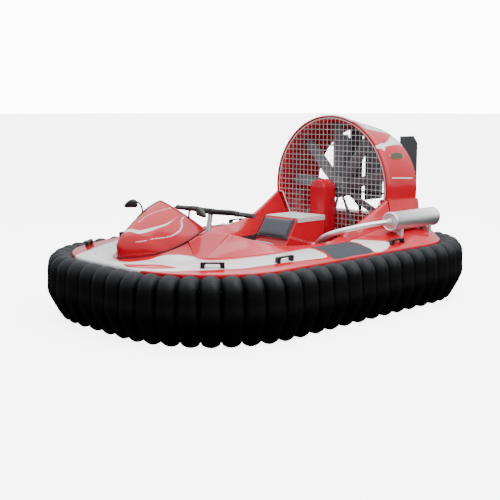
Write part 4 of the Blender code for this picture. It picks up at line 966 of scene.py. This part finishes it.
def make_steering():
    """Bar, pads, clamps, levers and ribbed grips, all round sections carried along the bar's line."""
    down = np.array((math.sin(COLUMN_RAKE), 0.0, -math.cos(COLUMN_RAKE)))
    centre = COLUMN_TOP - down * 0.022
    knee = 0.385 - 0.118
    half = np.array(((0.0, 0.0, 0.0), (0.0, 0.07, 0.0), (-0.012, 0.19, 0.003), (-0.018, knee - 0.02, -0.001)))
    sweep = np.array((-0.04, 1.0, -0.01))
    sweep /= np.linalg.norm(sweep)
    end = half[-1] + sweep * 0.02
    line = np.vstack([end * (1, -1, 1), half[:0:-1] * (1, -1, 1), half, end]) + centre
    bar = carried(through(line, 90), disc(20, 0.0135))
    middle = through(line, 90)[12:78]
    swell = np.linspace(-1, 1, len(middle))
    pad = carried(middle, disc(24, 1.0, 1.0), scale=0.0195 - 0.0045 * swell ** 12 - 0.0015 * swell ** 2)
    clamp = turned([(-0.0003, 0.0001), (-0.0003, 0.019), (-0.003, 0.022), (-0.037, 0.022), (-0.040, 0.019),
                    (-0.040, 0.0001)], COLUMN_TOP, down, 32)
    piece("handlebar_fine", [bar, pad, clamp], finish("black"), body="bars", replaces=("handlebar",), sharp=40.0)
    for side, name in ((1, "port"), (-1, "starboard")):
        flip = np.array((1, side, 1))
        t = np.linspace(0.0, 1.0, 78)
        reach = 0.0003 + t * 0.117
        path = centre + (end + reach[:, None] * sweep) * flip
        ribs = 0.0150 + 0.0011 * (np.sin(t * 2 * math.pi * 13) > -0.2) * (t > 0.10) * (t < 0.93) + 0.0022 * (t < 0.05)
        ribs *= np.where(t > 0.985, 0.86, 1.0)
        grip = carried(path, disc(24), scale=np.minimum(ribs, 0.0172))
        piece(f"grip_{name}_fine", [grip], finish("grip"), body="bars", replaces=("grip_" + name,), sharp=35.0)
        perch = centre + (end - sweep * 0.030) * flip
        collar = carried(np.array([perch - sweep * flip * 0.012, perch + sweep * flip * 0.012]), disc(20, 0.0185))
        out = sweep * flip
        lever = through(np.array((perch + (0.010, 0, 0), perch + (0.036, 0, 0.004) + out * 0.02,
                                  perch + (0.044, 0, 0.002) + out * 0.06, perch + (0.040, 0, 0.0) + out * 0.125)), 24)
        blade = carried(lever, disc(14, 0.0042, 0.0068))
        piece(f"lever_{name}", [collar, blade], finish("black"), body="bars", sharp=40.0)
    NODES["steering_column"].data.materials.clear()
    NODES["steering_column"].data.materials.append(finish("column"))


def crowned_pad(corners, thick, crown, steps=28, pull=0.010, seams=()):
    """Closed pad on four corners: two faces bulge as (1 - u^4)(1 - v^4), sides pull in between the corners,
    and sewn lines sink as narrow bells."""
    u, v = np.meshgrid(np.linspace(-1, 1, steps), np.linspace(-1, 1, steps), indexing="ij")
    a, b, c, d = (np.asarray(p, float) for p in corners)
    side, up = (b - a + c - d) / 4, (d - a + c - b) / 4
    centre = (a + b + c + d) / 4
    out = np.cross(side, up)
    out /= np.linalg.norm(out)
    lx, ly = np.linalg.norm(side), np.linalg.norm(up)
    su = u * (1 - pull / lx * (1 - v ** 2))
    sv = v * (1 - pull / ly * (1 - u ** 2))
    flat = centre + su[..., None] * side + sv[..., None] * up
    swell = (1 - u ** 4) * (1 - v ** 4)
    edge = np.sqrt(np.clip((1 - np.abs(u) ** 10) * (1 - np.abs(v) ** 10), 0.0, 1.0))
    front = thick * edge + crown * swell
    for axis, place in seams:
        where = (u if axis == 0 else v) - place
        front -= 0.5 * crown * np.exp(-(where / 0.035) ** 2) * edge
    top = flat + front[..., None] * out
    back = flat + 0.0004 * out
    border = np.r_[np.arange(steps) * steps, (steps - 1) * steps + np.arange(1, steps),
                   (steps - 1 - np.arange(1, steps)) * steps + steps - 1, np.arange(steps - 2, 0, -1)]
    return top, back, border


def pad_piece(name, corners, thick, crown, material, node, seams=(), pull=0.010):
    """Padded piece from two grids that meet round their border."""
    top, back, _ = crowned_pad(corners, thick, crown, seams=seams, pull=pull)
    n = len(top)
    points = np.vstack([top.reshape(-1, 3), back.reshape(-1, 3)])
    i, j = np.meshgrid(np.arange(n - 1), np.arange(n - 1), indexing="ij")
    cell = np.stack([i * n + j, (i + 1) * n + j, (i + 1) * n + j + 1, i * n + j + 1], -1).reshape(-1, 4)
    rim = np.r_[np.arange(n) * n, (n - 1) * n + np.arange(1, n), np.arange(n - 2, -1, -1) * n + n - 1,
                np.arange(n - 2, 0, -1)]
    nxt = np.roll(rim, -1)
    walls = np.stack([rim, rim + n * n, nxt + n * n, nxt], -1)
    mesh = bpy.data.meshes.new(name)
    mesh.from_pydata(points, [], cell.tolist() + (cell[:, ::-1] + n * n).tolist() + walls.tolist())
    work = bmesh.new()
    work.from_mesh(mesh)
    bmesh.ops.remove_doubles(work, verts=work.verts, dist=1e-6)
    bmesh.ops.recalc_face_normals(work, faces=work.faces)
    work.to_mesh(mesh)
    work.free()
    item = settle(name, mesh, material, replaces=(node,), sharp=50.0)
    mod = item.modifiers.new("smooth", "SUBSURF")
    mod.levels = mod.render_levels = 1
    return item


def make_seat():
    """Backrest and cushion as crowned pads with piping, on the moulded seat base."""
    low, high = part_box("seat_backrest")
    slope = 0.67
    top_z = 0.577
    def front(z):
        return -0.199 + (top_z - z) * slope
    z0, z1 = low.z + 0.0005, high.z + 0.003
    corners = [(front(z0), -0.150, z0), (front(z0), 0.142, z0), (front(z1), 0.142, z1), (front(z1), -0.150, z1)]
    corners = [np.array(c) + (0.0008, 0, 0) for c in corners]
    pad_piece("backrest_pad", corners, 0.024, 0.004, finish("pad"), "seat_backrest", pull=0.003)
    out = np.array((0.831, 0.0, 0.557))
    rim = np.array([corners[k] for k in (3, 0, 1, 2)]) + 0.019 * out
    centre = rim.mean(0)
    trim = through(np.vstack([rim[0], rim[1], rim[1], rim[2], rim[2], rim[3]])[[0, 1, 2, 3, 4, 5]], 80)
    trim = centre + (trim - centre) * 0.995
    piece("backrest_piping", [carried(trim, disc(10, 0.0048), up=(1.0, 0.0, 0.3))], finish("pad_edge"), sharp=60.0)
    low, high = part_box("seat_cushion")
    z = low.z + 0.0005
    x0, x1 = front(low.z) + 0.014, high.x - 0.004
    corners = [(x1, low.y + 0.001, z), (x1, high.y - 0.001, z), (x0, high.y - 0.001, z), (x0, low.y + 0.001, z)]
    pad_piece("seat_pad", corners, high.z - low.z - 0.012, 0.011, finish("cushion"), "seat_cushion",
              seams=((1, -0.33), (1, 0.33)))
    softened("seat_base", finish("red"), 0.006)


def make_engine_bay():
    """Engine cover, plate and belt guard with soft edges, and the plate's screws."""
    softened("engine_cover", finish("red"), 0.006)
    softened("engine_cover_plate", finish("sheet"), 0.0012, segments=2)
    softened("belt_guard", finish("red"), 0.004)
    NODES["engine_block"].data.materials.clear()
    NODES["engine_block"].data.materials.append(finish("iron"))
    NODES["fan_shaft"].data.materials.clear()
    NODES["fan_shaft"].data.materials.append(finish("iron"))
    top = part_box("engine_cover_plate")[1]
    screws = [turned([(-0.002, 0.0001), (-0.002, 0.0065), (0.0008, 0.0065), (0.0026, 0.0045), (0.0028, 0.0001)],
                     (x, y, top.z), (0, 0, 1), 12)
              for x in (-0.225, -0.342, -0.462) for y in (-0.138, 0.138)]
    piece("cover_plate_screws", screws, finish("bolt"), sharp=30.0)


def make_exhaust():
    """Muffler turned from its profile, and the pipe: a circle carried along a smooth line, wider at the engine."""
    front, rear, radius = -0.545, -1.065, 0.069
    axis = (-1.0, 0.0, 0.0)
    length = front - rear
    can = turned([(0.004, 0.0001), (0.004, 0.052), (0.0, 0.057), (0.0, 0.062), (0.003, 0.067), (0.008, radius),
                  (0.013, radius - 0.0005), (0.016, radius - 0.002), (length - 0.022, radius - 0.002),
                  (length - 0.018, radius - 0.0005), (length - 0.008, radius), (length - 0.002, 0.066),
                  (length, 0.060), (length - 0.004, 0.054), (length - 0.004, 0.030), (length + 0.010, 0.0285),
                  (length + 0.018, 0.0275), (length + 0.018, 0.0245), (length - 0.002, 0.0240), (length - 0.002, 0.0001)],
                 (front, 0.700, 0.573), axis, 72)
    piece("muffler_fine", [can], finish("tube"), replaces=("muffler",), sharp=38.0)
    for place in ("front", "rear"):
        node = NODES[f"muffler_cradle_{place}"].data
        node.materials.clear()
        node.materials.append(finish("sheet"))
    inlet, outlet = np.array((front + 0.0003, 0.700, 0.573)), np.array((-0.370, 0.1553, 0.370))
    route = np.array((inlet, inlet + (0.02, 0.0, 0.0), (-0.470, 0.690, 0.571), (-0.390, 0.640, 0.560),
                      (-0.300, 0.580, 0.540), (-0.215, 0.510, 0.514), (-0.190, 0.430, 0.480), (-0.235, 0.330, 0.430),
                      (-0.330, 0.230, 0.385), outlet + (0.0, 0.03, 0.0), outlet))
    path = through(route, 150)
    taper = np.linspace(0.0182, 0.0225, 150)
    flange = 1.0 + 0.22 * np.exp(-((np.arange(150) - 3) / 2.2) ** 2)
    piece("exhaust_pipe_fine", [carried(path, disc(28), scale=taper * flange)], finish("tube"),
          replaces=("exhaust_pipe",), sharp=50.0)


def make_handles():
    """Grab handles: a bridge profile of two blocks and a thin bar, carried across the bar's width."""
    bridge = np.array(((-0.071, -0.010), (-0.071, 0.029), (-0.066, 0.033), (0.066, 0.033), (0.071, 0.029),
                       (0.071, -0.010), (0.048, -0.010), (0.046, 0.018), (0.040, 0.0255), (-0.040, 0.0255),
                       (-0.046, 0.018), (-0.048, -0.010)))
    for x, y, where in ((1.032, 0.625, "bow"), (0.593, 0.782, "mid"), (-0.500, 0.800, "stern")):
        line = OUTLINE - 0.2 * OUTLINE_NORMAL
        near = np.argmin(np.abs(np.arctan2(line[:, 1], line[:, 0]) - math.atan2(y, x)))
        out = OUTLINE_NORMAL[near]
        along = np.array((-out[1], out[0]))
        for side, name in ((1, "port"), (-1, "starboard")):
            node = f"handle_{where}_{name}"
            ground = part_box(node)[1].z - 0.034
            rings = []
            for width, shrink in ((-0.0125, 0.0018), (-0.0107, 0.0), (0.0107, 0.0), (0.0125, 0.0018)):
                edge = bridge - np.sign(bridge) * (shrink, shrink * 0.5)
                plan = np.array((x, y)) + edge[:, :1] * along + width * out
                rings.append(np.column_stack([plan, ground + edge[:, 1]]) * (1, side, 1))
            screws = [turned([(-0.001, 0.0001), (-0.001, 0.0045), (0.0008, 0.0042), (0.0012, 0.0001)],
                             np.array((*(np.array((x, y)) + reach * along), ground + 0.033)) * (1, side, 1), (0, 0, 1), 12)
                      for reach in (-0.058, 0.058)]
            piece(node + "_fine", [np.array(rings)], finish("black"), replaces=(node,), sharp=25.0)
            piece(f"handle_screws_{where}_{name}", screws, finish("bolt"), sharp=30.0)


def make_trim():
    """Seal along the cowl's foot and a bead along the body's foot, each a circle carried along the line."""
    foot = through(COWL_LINE[:, :3], 60) * (1, 1, 1)
    path = np.vstack([foot, (foot * (1, -1, 1))[::-1]]) + (0.0, 0.0, 0.0015)
    outward = path - (0.9, 0.0, 0.62)
    path = path + 0.0035 * outward / np.linalg.norm(outward, axis=1, keepdims=True)
    # seal set out from the cowl's foot so its dark red shows as the flange and as painted shade below the cowl
    piece("cowl_seal_and_shade", [carried(path, disc(10, 0.0055, 0.0042))], finish("seal"), sharp=60.0)
    port = np.vstack([BODY_LINE[:, 1:4], TAIL_LINE[1:, :3]])
    port = through(port[1:], 220) + (0.0, 0.0045, 0.0005)
    beads = [carried(port * (1, side, 1), disc(8, 0.0042)) for side in (1, -1)]
    beads = [placed(rings, white=deck_paint(rings[..., :2])[0]) for rings in beads]
    piece("body_foot_bead", beads, finish("red_striped"), sharp=60.0)


def dress_rest():
    """Finishes for the CAD solids that stay as they are."""
    for node, look in (("hull_lower", "hull"), ("landing_skid_port", "hull"), ("landing_skid_starboard", "hull")):
        NODES[node].data.materials.clear()
        NODES[node].data.materials.append(finish(look))


def make_stage():
    """Pale floor that only the camera sees, a bright sky over dark ground, soft lights and the camera."""
    look = bpy.context.scene.hovercraft_stage
    mesh = bpy.data.meshes.new("floor")
    mesh.from_pydata([(-400, -400, 0), (400, -400, 0), (400, 400, 0), (-400, 400, 0)], [], [(0, 1, 2, 3)])
    shade = Shade("floor_paper", Specular_IOR_Level=0.1, Emission_Strength=look.lift)
    tone = tuple(look.floor)
    cloud = shade.mix(shade.noise(0.8, 3.0), tuple(c * 0.985 for c in tone), tone)
    mesh.materials.append(shade.finish(Base_Color=cloud, Emission_Color=cloud, Roughness=0.95))
    floor = bpy.data.objects.new("floor", mesh)
    bpy.context.collection.objects.link(floor)
    floor.visible_glossy = floor.visible_diffuse = False
    world = bpy.data.worlds.new("studio")
    bpy.context.scene.world = world
    world.use_nodes = True
    tree = world.node_tree
    join = tree.links.new
    sky, split, half, ramp, ray, plain, either = (tree.nodes.new("ShaderNode" + kind) for kind in (
        "TexCoord", "SeparateXYZ", "Math", "ValToRGB", "LightPath", "Background", "MixShader"))
    stops = ((0.0, 0.03), (0.490, 0.04), (0.502, 0.70), (0.60, 0.90), (0.78, 1.20), (1.0, 1.40))
    while len(ramp.color_ramp.elements) < len(stops):
        ramp.color_ramp.elements.new(0.5)
    for element, (spot, level) in zip(ramp.color_ramp.elements, stops):
        element.position = spot
        element.color = (level * 0.965, level * 0.98, level, 1.0)
    half.operation = "MULTIPLY_ADD"
    half.inputs[1].default_value = half.inputs[2].default_value = 0.5
    back = tree.nodes["Background"]
    back.inputs["Strength"].default_value = look.sky
    plain.inputs["Strength"].default_value = look.backdrop
    plain.inputs["Color"].default_value = (1.0, 1.0, 1.0, 1.0)
    join(sky.outputs["Generated"], split.inputs[0])
    join(split.outputs["Z"], half.inputs[0])
    join(half.outputs[0], ramp.inputs["Fac"])
    join(ramp.outputs[0], back.inputs["Color"])
    join(ray.outputs["Is Camera Ray"], either.inputs[0])
    join(back.outputs[0], either.inputs[1])
    join(plain.outputs[0], either.inputs[2])
    join(either.outputs[0], tree.nodes["World Output"].inputs["Surface"])
    for name, place, aim, size, power in (
            ("key", (-1.2, 4.4, 5.2), (-0.2, 0.2, 0.4), 6.0, 420.0),
            ("overhead", (-0.5, -0.5, 5.5), (0.0, 0.0, 0.0), 8.0, 420.0)):
        data = bpy.data.lights.new(name, "AREA")
        data.energy, data.size = power, size
        lamp = bpy.data.objects.new(name, data)
        lamp.location = place
        lamp.rotation_euler = (Vector(aim) - Vector(place)).to_track_quat("-Z", "Y").to_euler()
        bpy.context.collection.objects.link(lamp)
    data = bpy.data.cameras.new("camera")
    data.sensor_width, data.lens = 36.0, look.focal
    data.clip_end = 2000.0
    camera = bpy.data.objects.new("camera", data)
    ahead = Vector((math.cos(look.heading) * math.cos(look.dip), math.sin(look.heading) * math.cos(look.dip),
                    -math.sin(look.dip)))
    camera.matrix_world = Matrix.Translation(look.position) @ ahead.to_track_quat("-Z", "Y").to_matrix().to_4x4()
    bpy.context.collection.objects.link(camera)
    bpy.context.scene.camera = camera


# Operators

STEPS = (
    ("skirt", "Skirt", make_skirt), ("deck", "Deck", make_deck), ("body", "Body", make_body), ("duct", "Duct", make_duct),
    ("guard", "Fan guard", make_guard), ("fan", "Fan", make_fan), ("rudders", "Rudders", make_rudders),
    ("cowl", "Nose cowl", make_cowl), ("mirrors", "Mirrors", make_mirrors), ("steering", "Steering", make_steering),
    ("seat", "Seat", make_seat), ("engine_bay", "Engine bay", make_engine_bay), ("exhaust", "Exhaust", make_exhaust),
    ("handles", "Grab handles", make_handles), ("trim", "Trim", make_trim), ("rest", "Hull finish", dress_rest),
    ("stage", "Stage", make_stage),
)


def operator_class(key, label, build):
    def execute(self, context):
        build()
        return {"FINISHED"}
    return type(f"HOVERCRAFT_OT_{key}", (bpy.types.Operator,), {
        "bl_idname": f"hovercraft.{key}", "bl_label": label, "__doc__": build.__doc__, "execute": execute})


OPERATORS = tuple(operator_class(*step) for step in STEPS)


class HOVERCRAFT_PT_dressing(bpy.types.Panel):
    """Lists the settings and the steps"""
    bl_label = "Hovercraft"
    bl_space_type = "VIEW_3D"
    bl_region_type = "UI"
    bl_category = "Hovercraft"

    def draw(self, context):
        for group in ("paint", "skirt", "guard", "stage"):
            box = self.layout.box()
            settings = getattr(context.scene, "hovercraft_" + group)
            for key in settings.__annotations__:
                box.prop(settings, key)
        for key, label, _ in STEPS:
            self.layout.operator(f"hovercraft.{key}", text=label)


GROUPS = (("paint", HovercraftPaint), ("skirt", HovercraftSkirt), ("guard", HovercraftGuard), ("stage", HovercraftStage))


def register():
    for key, group in GROUPS:
        bpy.utils.register_class(group)
        setattr(bpy.types.Scene, "hovercraft_" + key, bpy.props.PointerProperty(type=group))
    for item in (*OPERATORS, HOVERCRAFT_PT_dressing):
        bpy.utils.register_class(item)


def unregister():
    for item in (HOVERCRAFT_PT_dressing, *reversed(OPERATORS)):
        bpy.utils.unregister_class(item)
    for key, group in reversed(GROUPS):
        delattr(bpy.types.Scene, "hovercraft_" + key)
        bpy.utils.unregister_class(group)


def main():
    register()
    for key, _, _ in STEPS:
        getattr(bpy.ops.hovercraft, key)()


if __name__ == "__main__":
    main()
